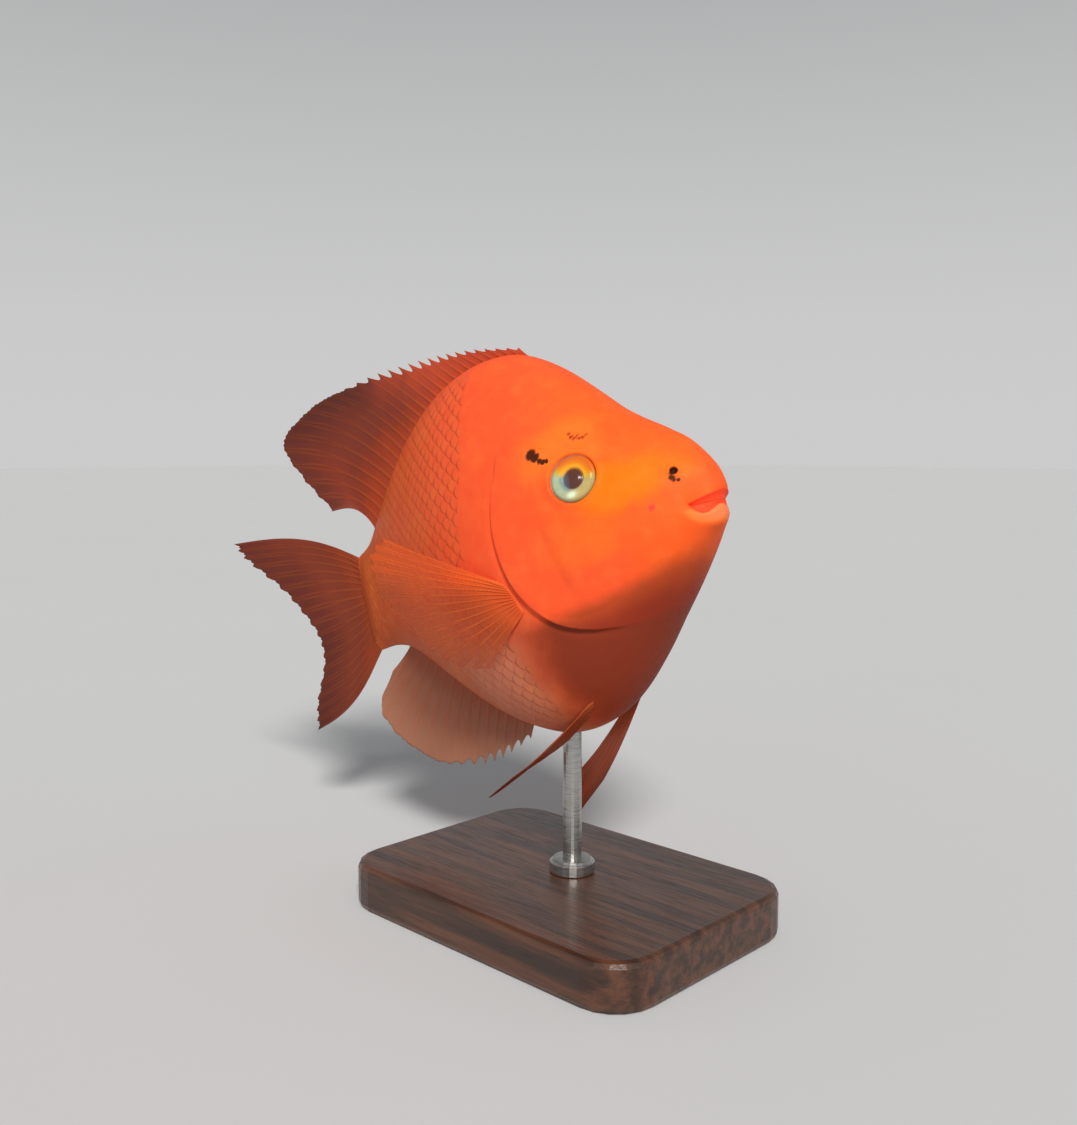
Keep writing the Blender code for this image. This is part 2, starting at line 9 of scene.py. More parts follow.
import bpy
import numpy as np
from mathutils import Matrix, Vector


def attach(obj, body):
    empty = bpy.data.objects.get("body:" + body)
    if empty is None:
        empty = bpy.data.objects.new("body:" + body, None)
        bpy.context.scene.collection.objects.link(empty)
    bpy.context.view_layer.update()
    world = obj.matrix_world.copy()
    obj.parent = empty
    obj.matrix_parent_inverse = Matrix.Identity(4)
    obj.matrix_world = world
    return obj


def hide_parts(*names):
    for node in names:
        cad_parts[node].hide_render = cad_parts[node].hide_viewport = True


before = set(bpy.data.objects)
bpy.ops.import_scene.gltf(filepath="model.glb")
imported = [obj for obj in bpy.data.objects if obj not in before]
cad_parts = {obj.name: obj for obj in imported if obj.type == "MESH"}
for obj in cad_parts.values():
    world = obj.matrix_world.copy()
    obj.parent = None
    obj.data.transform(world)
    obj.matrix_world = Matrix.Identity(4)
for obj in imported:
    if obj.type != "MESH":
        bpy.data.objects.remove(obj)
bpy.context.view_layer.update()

MM = 0.001
SEED = 11

# Pose of the fish over the stand
PIVOT_S = 60.0
PIVOT_X = -6.0
PIVOT_HEIGHT = 102.0
PITCH = math.radians(18.4)
ROLL = math.radians(2.0)
BODY_SWING = math.radians(4.0)
BODY_SWING_SPAN = (40, 120)
TAIL_SWING = math.radians(-9.0)
TAIL_SWING_SPAN = (125, 200)
TRACK_STEP = 0.5
TRACK_END = 240.0

# Camera, measured from the pivot
VIEW_TURN = math.radians(44)
VIEW_RISE = math.radians(4)
VIEW_DISTANCE = 0.3
PHOTO_HEIGHT = 1125
FOCAL_PIXELS = 1140
SHIFT_PIXELS = (6.7, -31.6)
SENSOR = 36.0

# Body
SNOUT_SECTION = 14.0
SHOULDER_SECTION = 66.0
STALK_SECTION = 112.0
BODY_END = 145.0
SIDE_POINTS = 200
UPPER_FULLNESS = 1.9
LOWER_FULLNESS = 2.3
SLOPE_STEP = 0.2

# Mouth
MOUTH_CORNER = (8.2, -7.1, -7.6)
UPPER_LIP = (2.6, -6.0)
LOWER_LIP = (4.3, -8.8)
LOWER_LIP_DIP = 2.2
UPPER_LIP_BULGE = 0.36
LOWER_LIP_BULGE = 0.45
LIP_MARGIN = 0.37
LIP_CREST = 0.22
LIP_TOP = 2.3
LIP_FOOT = 6.0
LIP_CORNER = 9.6
MOUTH_DEPTH = 0.45
MOUTH_PINCH = (0.1, 0.985)
MOUTH_RINGS = 18
LIP_REACH = 1.1
LIP_RINGS = 42
LIP_FADE = 6

# Eyes and nostrils
EYE_PLACE = (29.9, 6.2)
EYE_RADIUS = 6.15
SOCKET_DEPTH = 2.4
PUPIL_RADIUS = 2.55
NOSTRIL_PLACE = (8.9, 0.8)
NOSTRIL_RADIUS = 0.95
NOSTRIL_DEPTH = 0.8

# Gill cover
RIM_HEIGHT = 0.8
RIM_REACH = 5.5
RIM_GROOVE = 0.35
CHUNK = 20000
FAR_AHEAD = -20.0
CHEEK_S = 37.0
CHEEK_SWEEP = 4.5
CHEEK_SPREAD = 1.8
CHEEK_RIDGE = 0.22


def curve(points):
    """Smooth curve y(x) through a few points."""
    x, y = np.array(points, float).T
    slope = np.gradient(y, x)

    def at(value):
        value = np.clip(np.asarray(value, float), x[0], x[-1])
        i = np.clip(np.searchsorted(x, value, side="right") - 1, 0, len(x) - 2)
        wide = x[i + 1] - x[i]
        t = (value - x[i]) / wide
        ends = y[i] * (1 + 2 * t) * (1 - t) ** 2 + y[i + 1] * t * t * (3 - 2 * t)
        return ends + wide * t * (1 - t) * (slope[i] * (1 - t) - slope[i + 1] * t)

    return at


def ease(value, low, high):
    """Smooth step from 0 at low to 1 at high."""
    t = np.clip((np.asarray(value, float) - low) / (high - low), 0, 1)
    return t * t * (3 - 2 * t)


def bell(value, middle, spread):
    """1 at the middle, fading to 0 over a few spreads."""
    return np.exp(-(((np.asarray(value, float) - middle) / spread) ** 2))


# Outline of the body from the side, height of its widest line, and half breadth, along s
back = curve([(0, -6.6), (1.5, -4.4), (4, 1), (9, 8.4), (14, 12.7), (23, 19.6), (28, 24),
              (34, 30.6), (42, 39), (51, 45.6), (62, 48.8), (74, 49), (88, 46.2), (102, 40.6),
              (116, 32.6), (128, 23.8), (136, 18), (147, 14.6)])
belly = curve([(0, -8), (1.5, -9.3), (4, -12.2), (8, -15), (14, -20.6), (21, -27),
               (29, -34), (38, -42.2), (47, -48.8), (57, -52.4), (66, -52.8), (76, -50),
               (88, -44.2), (102, -34.8), (116, -24.6), (128, -17.8), (136, -15.8), (147, -15.6)])
widest = curve([(0, -7), (14, -6), (40, -4), (80, -1.5), (147, -0.5)])
breadth = curve([(0, 1.8), (1.5, 2.9), (4, 5.2), (8, 8.5), (14, 12.8), (22, 17.1), (30, 20.2),
                 (38, 22.2), (48, 23.6), (60, 24), (75, 22.4), (90, 18.8), (105, 14.2),
                 (120, 9.6), (132, 6.4), (140, 4.4), (147, 1.0)])


def half_width(s, z):
    """Half breadth of the plain body at a place in its side view."""
    top, low, mid = back(s), belly(s), widest(s)
    above = z > mid
    rise = np.where(above, (z - mid) / (top - mid), (mid - z) / (mid - low))
    fullness = np.where(above, UPPER_FULLNESS, LOWER_FULLNESS)
    return breadth(s) * np.sqrt(1 - np.clip(rise, 0, 1) ** fullness)


# Free edge of the gill cover from the throat, and its line on up to the nape
GILL_EDGE = np.array([(22.5, float(belly(22.5))), (28.5, -30), (36, -29.2), (43.2, -25.9),
                      (49.5, -19.2), (53.2, -11), (54.4, -3), (53.2, 6), (50.6, 14), (49, 24), (49, 34),
                      (50.2, float(back(50.2)))])


def along(points, fraction):
    """Places at given fractions of the length of a smooth line through a few points."""
    steps = np.concatenate([[0], np.cumsum(np.hypot(*np.diff(points, axis=0).T))])
    steps = steps / steps[-1]
    return np.stack([curve(np.stack([steps, points[:, k]], 1))(fraction) for k in (0, 1)], -1)


def heading(s):
    """Direction of the bent backbone, in radians from straight."""
    return BODY_SWING * ease(s, *BODY_SWING_SPAN) + TAIL_SWING * ease(s, *TAIL_SWING_SPAN)


TRACK_S = np.arange(0, TRACK_END + TRACK_STEP, TRACK_STEP)
TRACK_X = -np.concatenate([[0], np.cumsum(np.cos(heading(TRACK_S[1:])) * TRACK_STEP)])
TRACK_Y = np.concatenate([[0], np.cumsum(np.sin(heading(TRACK_S[1:])) * TRACK_STEP)])


def settle(points):
    """Straight frame in millimetres to the posed fish in metres."""
    points = np.asarray(points, float)
    s, y, z = points[..., 0], points[..., 1], points[..., 2]
    turn = heading(s)
    x = np.interp(s, TRACK_S, TRACK_X) + y * np.sin(turn) + PIVOT_S
    y = np.interp(s, TRACK_S, TRACK_Y) + y * np.cos(turn)
    y, z = y * math.cos(ROLL) - z * math.sin(ROLL), y * math.sin(ROLL) + z * math.cos(ROLL)
    x, z = x * math.cos(PITCH) - z * math.sin(PITCH), x * math.sin(PITCH) + z * math.cos(PITCH)
    return np.stack([x + PIVOT_X, y, z + PIVOT_HEIGHT], -1) * MM


def spaced(count, density):
    """Values from 0 to 1, closer together where the density is higher."""
    fine = np.linspace(0, 1, 2001)
    total = np.concatenate([[0], np.cumsum((density(fine[1:]) + density(fine[:-1])) / 2)])
    return np.interp(np.linspace(0, 1, count + 1), total / total[-1], fine)


# Places up one side of a ring, closest together at the height of the eye
TURN = spaced(SIDE_POINTS, lambda t: 1 + 1.6 * bell(t, 0.604, 0.1))
SIDE = (1 - np.cos(np.pi * TURN)) / 2
AROUND = np.pi * np.concatenate([TURN, 2 - TURN[-2:0:-1]])


def as_share(line):
    """A line in the side view as distance back and share of the body's height there."""
    s, z = line[:, 0], line[:, 1]
    share = (z - belly(s)) / (back(s) - belly(s))
    share[0], share[-1] = 0, 1
    return np.stack([s, np.clip(share, 0, 1)], -1)


def section_line(s):
    return np.stack([np.full_like(SIDE, s), SIDE], -1)


def snout_line():
    """Outer edge of the lips, from the middle of the lower lip to that of the upper."""
    turn = np.sin(np.pi * TURN) ** 2
    middle = np.where(TURN < 0.5, LIP_FOOT, LIP_TOP)
    return np.stack([middle + (LIP_CORNER - middle) * turn, SIDE ** 1.3], -1)


def ring(line):
    """Closed ring round the plain body: up its right side and down its left."""
    s = line[:, 0]
    z = belly(s) + line[:, 1] * (back(s) - belly(s))
    y = half_width(s, z)
    y[0] = y[-1] = 0
    right = np.stack([s, -y, z], -1)
    left = np.stack([s, y, z], -1)[-2:0:-1]
    return np.concatenate([right, left])


def lip_rings(outer, onward):
    """Rings from the back of the mouth, over rounded lips, to the outer edge where the skin runs on."""
    lower = np.cos(AROUND / 2) ** 2
    side = np.sin(AROUND)
    turn = side ** 2
    low = (np.abs((AROUND + np.pi) % (2 * np.pi) - np.pi) < np.pi / 2).astype(float)
    middle_s = low * LOWER_LIP[0] + (1 - low) * UPPER_LIP[0]
    middle_z = low * LOWER_LIP[1] + (1 - low) * UPPER_LIP[1]
    s = middle_s + (MOUTH_CORNER[0] - middle_s) * turn
    y = MOUTH_CORNER[1] * side
    z = middle_z + (MOUTH_CORNER[2] - middle_z) * np.abs(side) ** 1.5
    z = z - LOWER_LIP_DIP * low * np.sin(2 * AROUND) ** 2
    opening = np.stack([s, y, z], -1)
    bulge = (UPPER_LIP_BULGE * (1 - lower) + LOWER_LIP_BULGE * lower) * (1 - 0.5 * turn)
    out = np.stack([-np.ones_like(side), 0.5 * np.sign(y) * np.abs(side), 0.35 * -np.cos(AROUND)], -1)
    centre = np.array([0, 0, MOUTH_CORNER[2] - 0.5])
    level = (UPPER_LIP[0] + LOWER_LIP[0]) / 2 * (1 - turn) + MOUTH_CORNER[0] * turn
    rings = []
    for t in np.linspace(1, 0.04, MOUTH_RINGS):
        inner = centre + (opening - centre) * [1, 1 - MOUTH_PINCH[0] * t, 1 - MOUTH_PINCH[1] * t ** 1.3]
        inner[:, 0] = opening[:, 0] + (level - opening[:, 0]) * float(ease(t, 0, 1))
        inner[:, 0] += MOUTH_DEPTH * math.sin(t * math.pi / 2)
        swell = bulge * LIP_MARGIN * (1 - t) ** 4
        rings.append((inner + out * swell[:, None], 1.0, 0.0))
    span = outer - opening
    reach = np.linalg.norm(span, axis=1, keepdims=True)
    leave = onward / np.linalg.norm(onward, axis=1, keepdims=True) * reach * LIP_REACH
    for t in np.linspace(0, 1, LIP_RINGS)[:-1]:
        rise = LIP_MARGIN + (1 - LIP_MARGIN) * float(ease(t, 0, LIP_CREST))
        swell = bulge * rise * float(1 - ease(t, LIP_CREST, 1))
        point = opening + span * t * t * (3 - 2 * t) + t * (1 - t) * (span * (1 - t) - leave * t)
        point = point + out * swell[:, None]
        rings.append((point, float(1 - ease(t, 0, 0.07)), float(1 - ease(t, 0.45, 0.95))))
    return rings


GILL_FINE = along(GILL_EDGE, np.linspace(0, 1, 420))
GILL_RUN = np.gradient(GILL_FINE, axis=0)
GILL_RUN = GILL_RUN / np.hypot(*GILL_RUN.T)[:, None]


def gill_distance(s, z):
    """Distance behind the gill cover's edge, less than 0 in front of it, and the place along it."""
    flat_s, flat_z = np.ravel(s), np.ravel(z)
    away = np.empty(flat_s.shape)
    place = np.empty(flat_s.shape)
    for start in range(0, len(flat_s), CHUNK):
        part = slice(start, start + CHUNK)
        ds = flat_s[part, None] - GILL_FINE[:, 0]
        dz = flat_z[part, None] - GILL_FINE[:, 1]
        gap = np.hypot(ds, dz)
        near = gap.argmin(axis=1)
        row = np.arange(len(near))
        behind = ds[row, near] * GILL_RUN[near, 1] - dz[row, near] * GILL_RUN[near, 0]
        away[part] = gap[row, near] * np.where(behind >= 0, 1, -1)
        place[part] = near / (len(GILL_FINE) - 1)
    return away.reshape(np.shape(s)), place.reshape(np.shape(s))


def surface_frame(s, z, side):
    """Point on the plain flank and its outward direction, in the straight frame."""
    step = SLOPE_STEP
    y = half_width(s, z)
    along_s = (half_width(s + step, z) - half_width(s - step, z)) / (2 * step)
    along_z = (half_width(s, z + step) - half_width(s, z - step)) / (2 * step)
    normal = np.stack([-along_s, np.full_like(y, side), -along_z], -1)
    normal /= np.linalg.norm(normal, axis=-1, keepdims=True)
    return np.stack([s + 0 * y, y * side, z + 0 * y], -1), normal


def eye_frame(place, side):
    """Centre on the flank, and the forward, upward and outward directions there."""
    middle, normal = surface_frame(np.array(place[0]), np.array(place[1]), side)
    back_way = np.cross([0, 0, 1.0], normal) * -side
    back_way /= np.linalg.norm(back_way)
    up = np.cross(normal, back_way) * -side
    return middle, -back_way, up, normal


def distance_from(place, points, side):
    """Distance of points from a place on one flank, measured flat on it."""
    middle, ahead, up, _ = eye_frame(place, side)
    gap = points - middle
    return np.hypot(gap @ ahead, gap @ up)


def relief(points):
    """How far the finished skin stands out from the plain body."""
    s, y, z = points[..., 0], points[..., 1], points[..., 2]
    away, place = gill_distance(s, z)
    edge = ease(place, 0.05, 0.2) * (1 - ease(place, 0.62, 0.74))
    low = ease(place, 0.14, 0.26) * (1 - ease(place, 0.35, 0.5))
    height = RIM_HEIGHT * edge * (1 + 0.5 * low)
    front = height * bell(np.minimum(away, 0), 0, RIM_REACH)
    behind = height * (1 - ease(away, -0.1, 0.7)) - RIM_GROOVE * edge * bell(away, 1.0, 1.1)
    rim = np.where(away < -0.1, front, behind)
    arc = CHEEK_S + CHEEK_SWEEP * np.sin((z + 8) / 22)
    cheek_span = ease(z, -27, -20) * (1 - ease(z, -4, 4))
    ridge = CHEEK_RIDGE * bell(s, arc, CHEEK_SPREAD) * cheek_span
    groove = -0.1 * bell(s, arc + 3.0, 1.0) * cheek_span
    lower_groove = -0.12 * bell(z, -25.5 + 0.03 * (s - 36) ** 2, 0.8) * ease(s, 25, 30) * (
        1 - ease(s, 44, 48))
    total = rim + ridge + groove + lower_groove
    for side in (-1, 1):
        here = np.where(y * side > 0, 1.0, 0.0)
        r = distance_from(EYE_PLACE, points, side)
        socket = -SOCKET_DEPTH * (1 - ease(r, EYE_RADIUS - 0.5, EYE_RADIUS + 0.05))
        orbit = 0.16 * bell(r, EYE_RADIUS + 0.6, 0.6) - 0.12 * bell(r, EYE_RADIUS + 2.4, 1.3)
        total = total + here * (socket + orbit)
        r = distance_from(NOSTRIL_PLACE, points, side)
        pit = -NOSTRIL_DEPTH * (1 - ease(r, NOSTRIL_RADIUS * 0.35, NOSTRIL_RADIUS * 1.05))
        lip = 0.12 * bell(r, NOSTRIL_RADIUS * 1.5, 0.4)
        total = total + here * (pit + lip)
    return total


def put_object(name, data):
    made = bpy.data.objects.new(name, data)
    bpy.context.scene.collection.objects.link(made)
    return made


def grid_mesh(name, points, closed, attributes, ends=()):
    """Mesh over a grid of posed points, closed round its second direction if asked."""
    rows, columns = points.shape[:2]
    index = np.arange(rows * columns).reshape(rows, columns)
    following = np.roll(index, -1, axis=1) if closed else index[:, 1:]
    current = index if closed else index[:, :-1]
    quads = np.stack([current[:-1], following[:-1], following[1:], current[1:]], -1).reshape(-1, 4)
    return face_mesh(name, points.reshape(-1, 3), quads, attributes, ends)


def face_mesh(name, points, quads, attributes, extra_faces=()):
    """Smooth mesh object from posed points, quads, point attributes and a few other faces."""
    mesh = bpy.data.meshes.new(name)
    loops = np.concatenate([quads.ravel()] + [np.array(f) for f in extra_faces])
    sizes = np.concatenate([np.full(len(quads), 4), [len(f) for f in extra_faces]]).astype(np.int32)
    mesh.vertices.add(len(points))
    mesh.vertices.foreach_set("co", np.asarray(points, np.float32).ravel())
    mesh.loops.add(len(loops))
    mesh.loops.foreach_set("vertex_index", loops.astype(np.int32))
    mesh.polygons.add(len(sizes))
    starts = np.concatenate([[0], np.cumsum(sizes)[:-1]]).astype(np.int32)
    mesh.polygons.foreach_set("loop_start", starts)
    mesh.polygons.foreach_set("loop_total", sizes)
    mesh.update(calc_edges=True)
    mesh.validate()
    for key, values in attributes.items():
        layer = mesh.attributes.new(key, "FLOAT", "POINT")
        layer.data.foreach_set("value", np.asarray(values, np.float32).ravel())
    mesh.shade_smooth()
    return put_object(name, mesh)


def dress(piece, finish, slot, *nodes):
    """Give a piece its material and body, and hide the solids that it stands for. The slot argument is not
    used.
    """
    piece.data.materials.append(finish)
    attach(piece, "root")
    if nodes:
        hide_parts(*nodes)
    return piece


class Nodes:
    """Short ways to write the nodes of a material or of the world."""

    def __init__(self, name, kind=bpy.data.materials):
        self.owner = kind.new(name)
        self.owner.use_nodes = True
        self.tree = self.owner.node_tree
        self.shader = self.tree.nodes.get("Principled BSDF")
        self.output = self.tree.nodes.get("Material Output")

    def add(self, kind, **settings):
        node = self.tree.nodes.new(kind)
        for key, value in settings.items():
            setattr(node, key, value)
        return node

    def link(self, source, target):
        self.tree.links.new(source, target)

    def put(self, value, target):
        if isinstance(value, bpy.types.NodeSocket):
            self.link(value, target)
        else:
            target.default_value = value

    def set(self, name, value):
        self.put(value, self.shader.inputs[name])

    def attribute(self, name):
        return self.add("ShaderNodeAttribute", attribute_name=name).outputs["Fac"]

    def math(self, operation, a, b=0.0):
        node = self.add("ShaderNodeMath", operation=operation)
        self.put(a, node.inputs[0])
        self.put(b, node.inputs[1])
        return node.outputs[0]

    def plus(self, a, b):
        return self.math("ADD", a, b)

    def minus(self, a, b):
        return self.math("SUBTRACT", a, b)

    def times(self, a, b):
        return self.math("MULTIPLY", a, b)

    def length(self, a, b):
        return self.math("SQRT", self.plus(self.times(a, a), self.times(b, b)))

    def stray(self, value, noise, size):
        """A value pushed up and down by a noise."""
        return self.plus(value, self.times(self.minus(noise, 0.5), size))

    def step(self, value, low, high, start=0.0, end=1.0):
        node = self.add("ShaderNodeMapRange", interpolation_type="SMOOTHSTEP")
        self.put(value, node.inputs["Value"])
        for key, number in (("From Min", low), ("From Max", high), ("To Min", start), ("To Max", end)):
            self.put(number, node.inputs[key])
        return node.outputs["Result"]

    def mix(self, share, first, second, blend="MIX"):
        node = self.add("ShaderNodeMix", data_type="RGBA", blend_type=blend)
        self.put(share, node.inputs[0])
        self.put(colour(first), node.inputs[6])
        self.put(colour(second), node.inputs[7])
        return node.outputs[2]

    def blend(self, share, first, second):
        """Shader with a share of a second one mixed in."""
        node = self.add("ShaderNodeMixShader")
        self.put(share, node.inputs[0])
        self.link(first.outputs[0], node.inputs[1])
        self.link(second.outputs[0], node.inputs[2])
        return node

    def show(self, shader):
        self.link(shader.outputs[0], self.output.inputs["Surface"])

    def noise(self, scale, detail=3.0, roughness=0.5, vector=None):
        node = self.add("ShaderNodeTexNoise")
        node.inputs["Scale"].default_value = scale
        node.inputs["Detail"].default_value = detail
        node.inputs["Roughness"].default_value = roughness
        self.link(self.place() if vector is None else vector, node.inputs["Vector"])
        return node.outputs["Fac"]

    def place(self):
        return self.add("ShaderNodeTexCoord").outputs["Object"]

    def stretched(self, scale):
        node = self.add("ShaderNodeMapping")
        node.inputs["Scale"].default_value = scale
        self.link(self.place(), node.inputs["Vector"])
        return node.outputs[0]

    def bump(self, height, strength, distance):
        node = self.add("ShaderNodeBump")
        node.inputs["Strength"].default_value = strength
        node.inputs["Distance"].default_value = distance
        self.link(height, node.inputs["Height"])
        return node.outputs["Normal"]


def colour(code):
    """Linear colour from a hex code in display values, and anything else as it is."""
    if not isinstance(code, str):
        return code
    parts = [int(code[i:i + 2], 16) / 255 for i in (1, 3, 5)]
    return tuple(c / 12.92 if c <= 0.04045 else ((c + 0.055) / 1.055) ** 2.4 for c in parts) + (1.0,)


# Warm patches of the face: middle, half size, share and colour
FACE_PATCHES = [((19.5, 1.5), (12.5, 7.5), 0.9, "#F67404"),
                ((33.0, 14.0), (13.0, 8.0), 0.7, "#F87624"),
                ((30.0, -9.0), (12.0, 6.0), 0.4, "#FA7020")]

# Marks on the right side of the head: place in s and z, radius, and softness of the edge
FLECKS = [(39.8, 15.1, 1.4, 0.35), (38.8, 14.0, 1.15, 0.3), (37.6, 12.8, 0.75, 0.25),
          (36.7, 12.3, 0.6, 0.25), (35.9, 12.3, 0.5, 0.2)]
BROW_MARKS = [(30.8, 17.2, 0.35, 0.3), (30.2, 16.3, 0.45, 0.3), (29.6, 15.7, 0.45, 0.3),
              (29.0, 16.2, 0.35, 0.3), (28.4, 15.3, 0.45, 0.3), (27.8, 15.2, 0.35, 0.3),
              (27.2, 15.8, 0.35, 0.3)]
NOSTRIL_MARKS = [(9.1, 0.5, 0.85, 0.3), (9.3, -0.8, 0.7, 0.3), (8.9, -1.4, 0.5, 0.25),
                 (8.3, -1.6, 0.45, 0.25)]
CHEEK_DOT = [(14.1, -6.3, 0.6, 0.4)]
MARKS = [(FLECKS, 0.95, "#2A100A"), (BROW_MARKS, 0.8, "#7E140C"), (NOSTRIL_MARKS, 0.95, "#3C1602"),
         (CHEEK_DOT, 0.7, "#E02838")]

# Edge of the painted shade under the lower jaw and on the throat: height at the snout, at the gill cover,
# and how fast it falls
JAW_PAINTED_SHADE = (-10.0, -25.0, 20.0)


def skin_colour(n):
    """Markings of skin and scales, from where a point lies on the fish, with painted shade under the jaw, on
    the throat and belly and in the nostrils, and a painted highlight on the lower lip.
    """
    s = n.attribute("fish_s")
    z = n.attribute("fish_z")
    blotch = n.noise(55, 4, 0.55)
    s_loose = n.stray(s, blotch, 16.0)
    z_loose = n.stray(z, blotch, 12.0)
    shade = n.mix(n.step(s_loose, 24, 50), "#F65E22", "#F4562C")
    low_face = n.times(n.step(z_loose, -4, -18), n.step(s_loose, 12, 30))
    shade = n.mix(low_face, shade, "#F4552C")
    for (middle_s, middle_z), (half_s, half_z), share, hue in FACE_PATCHES:
        ds = n.math("DIVIDE", n.minus(s_loose, middle_s), half_s)
        dz = n.math("DIVIDE", n.minus(z_loose, middle_z), half_z)
        gap = n.plus(n.times(ds, ds), n.times(dz, dz))
        shade = n.mix(n.times(n.step(gap, 1.3, 0.1), share), shade, hue)
    tip = n.step(n.minus(s, n.times(z, 0.35)), 7.5, 1.5)
    shade = n.mix(n.times(tip, 0.7), shade, "#F05028")
    shade = n.mix(n.step(s_loose, 62, 96), shade, "#E2541F")
    shade = n.mix(n.step(s_loose, 92, 140), shade, "#C24E1E")
    # Lower flank and belly behind the head, brownish: partly their own colour, partly painted shade of the
    # underside
    underside_tone_and_shade = n.times(n.step(z_loose, -4, -32), n.step(s_loose, 44, 62))
    shade = n.mix(n.times(underside_tone_and_shade, 0.85), shade, "#BC6242")
    pale = n.times(n.step(z_loose, -22, -32), n.step(s_loose, 56, 66))
    pale = n.times(pale, n.step(s_loose, 92, 78))
    shade = n.mix(n.times(pale, 0.6), shade, "#D68468")
    shade = n.mix(n.step(blotch, 0.5, 0.72, 0, 0.18), shade, "#FA7C28")
    shade = n.mix(n.step(blotch, 0.48, 0.3, 0, 0.18), shade, "#E24A1E")
    mottle = n.noise(260, 4, 0.6)
    shade = n.mix(n.step(mottle, 0.45, 0.75, 0, 0.14), shade, "#FF8C3C")
    shade = n.mix(n.step(mottle, 0.5, 0.25, 0, 0.14), shade, "#D0401A")

    # Painted shade under the lower jaw, in two steps darker below its edge, fading out towards the back of
    # the gill cover
    fall = n.math("EXPONENT", n.math("DIVIDE", s, -JAW_PAINTED_SHADE[2]))
    line = n.plus(JAW_PAINTED_SHADE[1], n.times(fall, JAW_PAINTED_SHADE[0] - JAW_PAINTED_SHADE[1]))
    under_shade_edge = n.minus(n.stray(z, blotch, 5.0), line)
    jaw_shade_reach = n.step(s_loose, 58, 42)
    shade = n.mix(n.times(n.step(under_shade_edge, 1.2, -3.2, 0, 0.92), jaw_shade_reach), shade, "#AC4420")
    shade = n.mix(n.times(n.step(under_shade_edge, -1.5, -7.5, 0, 0.85), jaw_shade_reach), shade, "#8A2E1E")
    # Throat behind the gill cover's edge: darker in its own colour, and partly painted shade under the gill
    # cover
    throat = n.times(n.step(n.attribute("gill"), -0.3, 1.0), n.step(z_loose, -20, -26))
    throat = n.times(throat, n.step(s_loose, 64, 44))
    shade = n.mix(n.times(throat, 0.9), shade, "#84341F")

    # Lower lip in its own orange, paler towards its front: partly its own paler colour, partly a painted
    # highlight where it catches the light
    lip = n.attribute("lip")
    under = n.step(n.plus(z, n.times(s, 0.12)), -7.4, -8.6)
    low_lip = n.times(lip, under)
    shade = n.mix(n.times(low_lip, 0.9), shade, "#F87828")
    pale_lip_and_highlight = n.times(n.step(lip, 0.35, 1.0), under)
    front = n.times(pale_lip_and_highlight, n.step(s, 8.0, 4.5, 0.2, 0.85))
    shade = n.mix(front, shade, "#F68050")
    shade = n.mix(n.attribute("mouth"), shade, "#FF4A24")

    right = n.step(n.attribute("fish_y"), 0.5, -0.5)
    wobble = n.times(n.minus(n.noise(1100, 3), 0.5), 1.1)
    for places, share, hue in MARKS:
        total = 0.0
        for spot_s, spot_z, radius, soft in places:
            gap = n.plus(n.length(n.minus(s, spot_s), n.minus(z, spot_z)), wobble)
            total = n.math("MAXIMUM", n.step(gap, radius + soft, radius - soft), total)
        shade = n.mix(n.times(n.times(total, right), share), shade, hue)
    # Painted shade inside the nostril pits
    return n.mix(n.attribute("pit"), shade, "#341404")


def skin_finish(n, scatter):
    """Moist but matt skin: little gloss, a little light scattered below the surface."""
    n.set("Subsurface Weight", scatter)
    n.set("Subsurface Radius", (1.0, 0.35, 0.15))
    n.set("Subsurface Scale", 0.002)
    n.set("Specular IOR Level", 0.1)


def skin_material():
    n = Nodes("fish_skin")
    n.set("Base Color", skin_colour(n))
    skin_finish(n, 0.12)
    pores = n.noise(900, 3, 0.6)
    n.set("Roughness", n.step(pores, 0.3, 0.7, 0.5, 0.64))
    n.set("Normal", n.bump(pores, 0.25, 0.00012))
    return n.owner


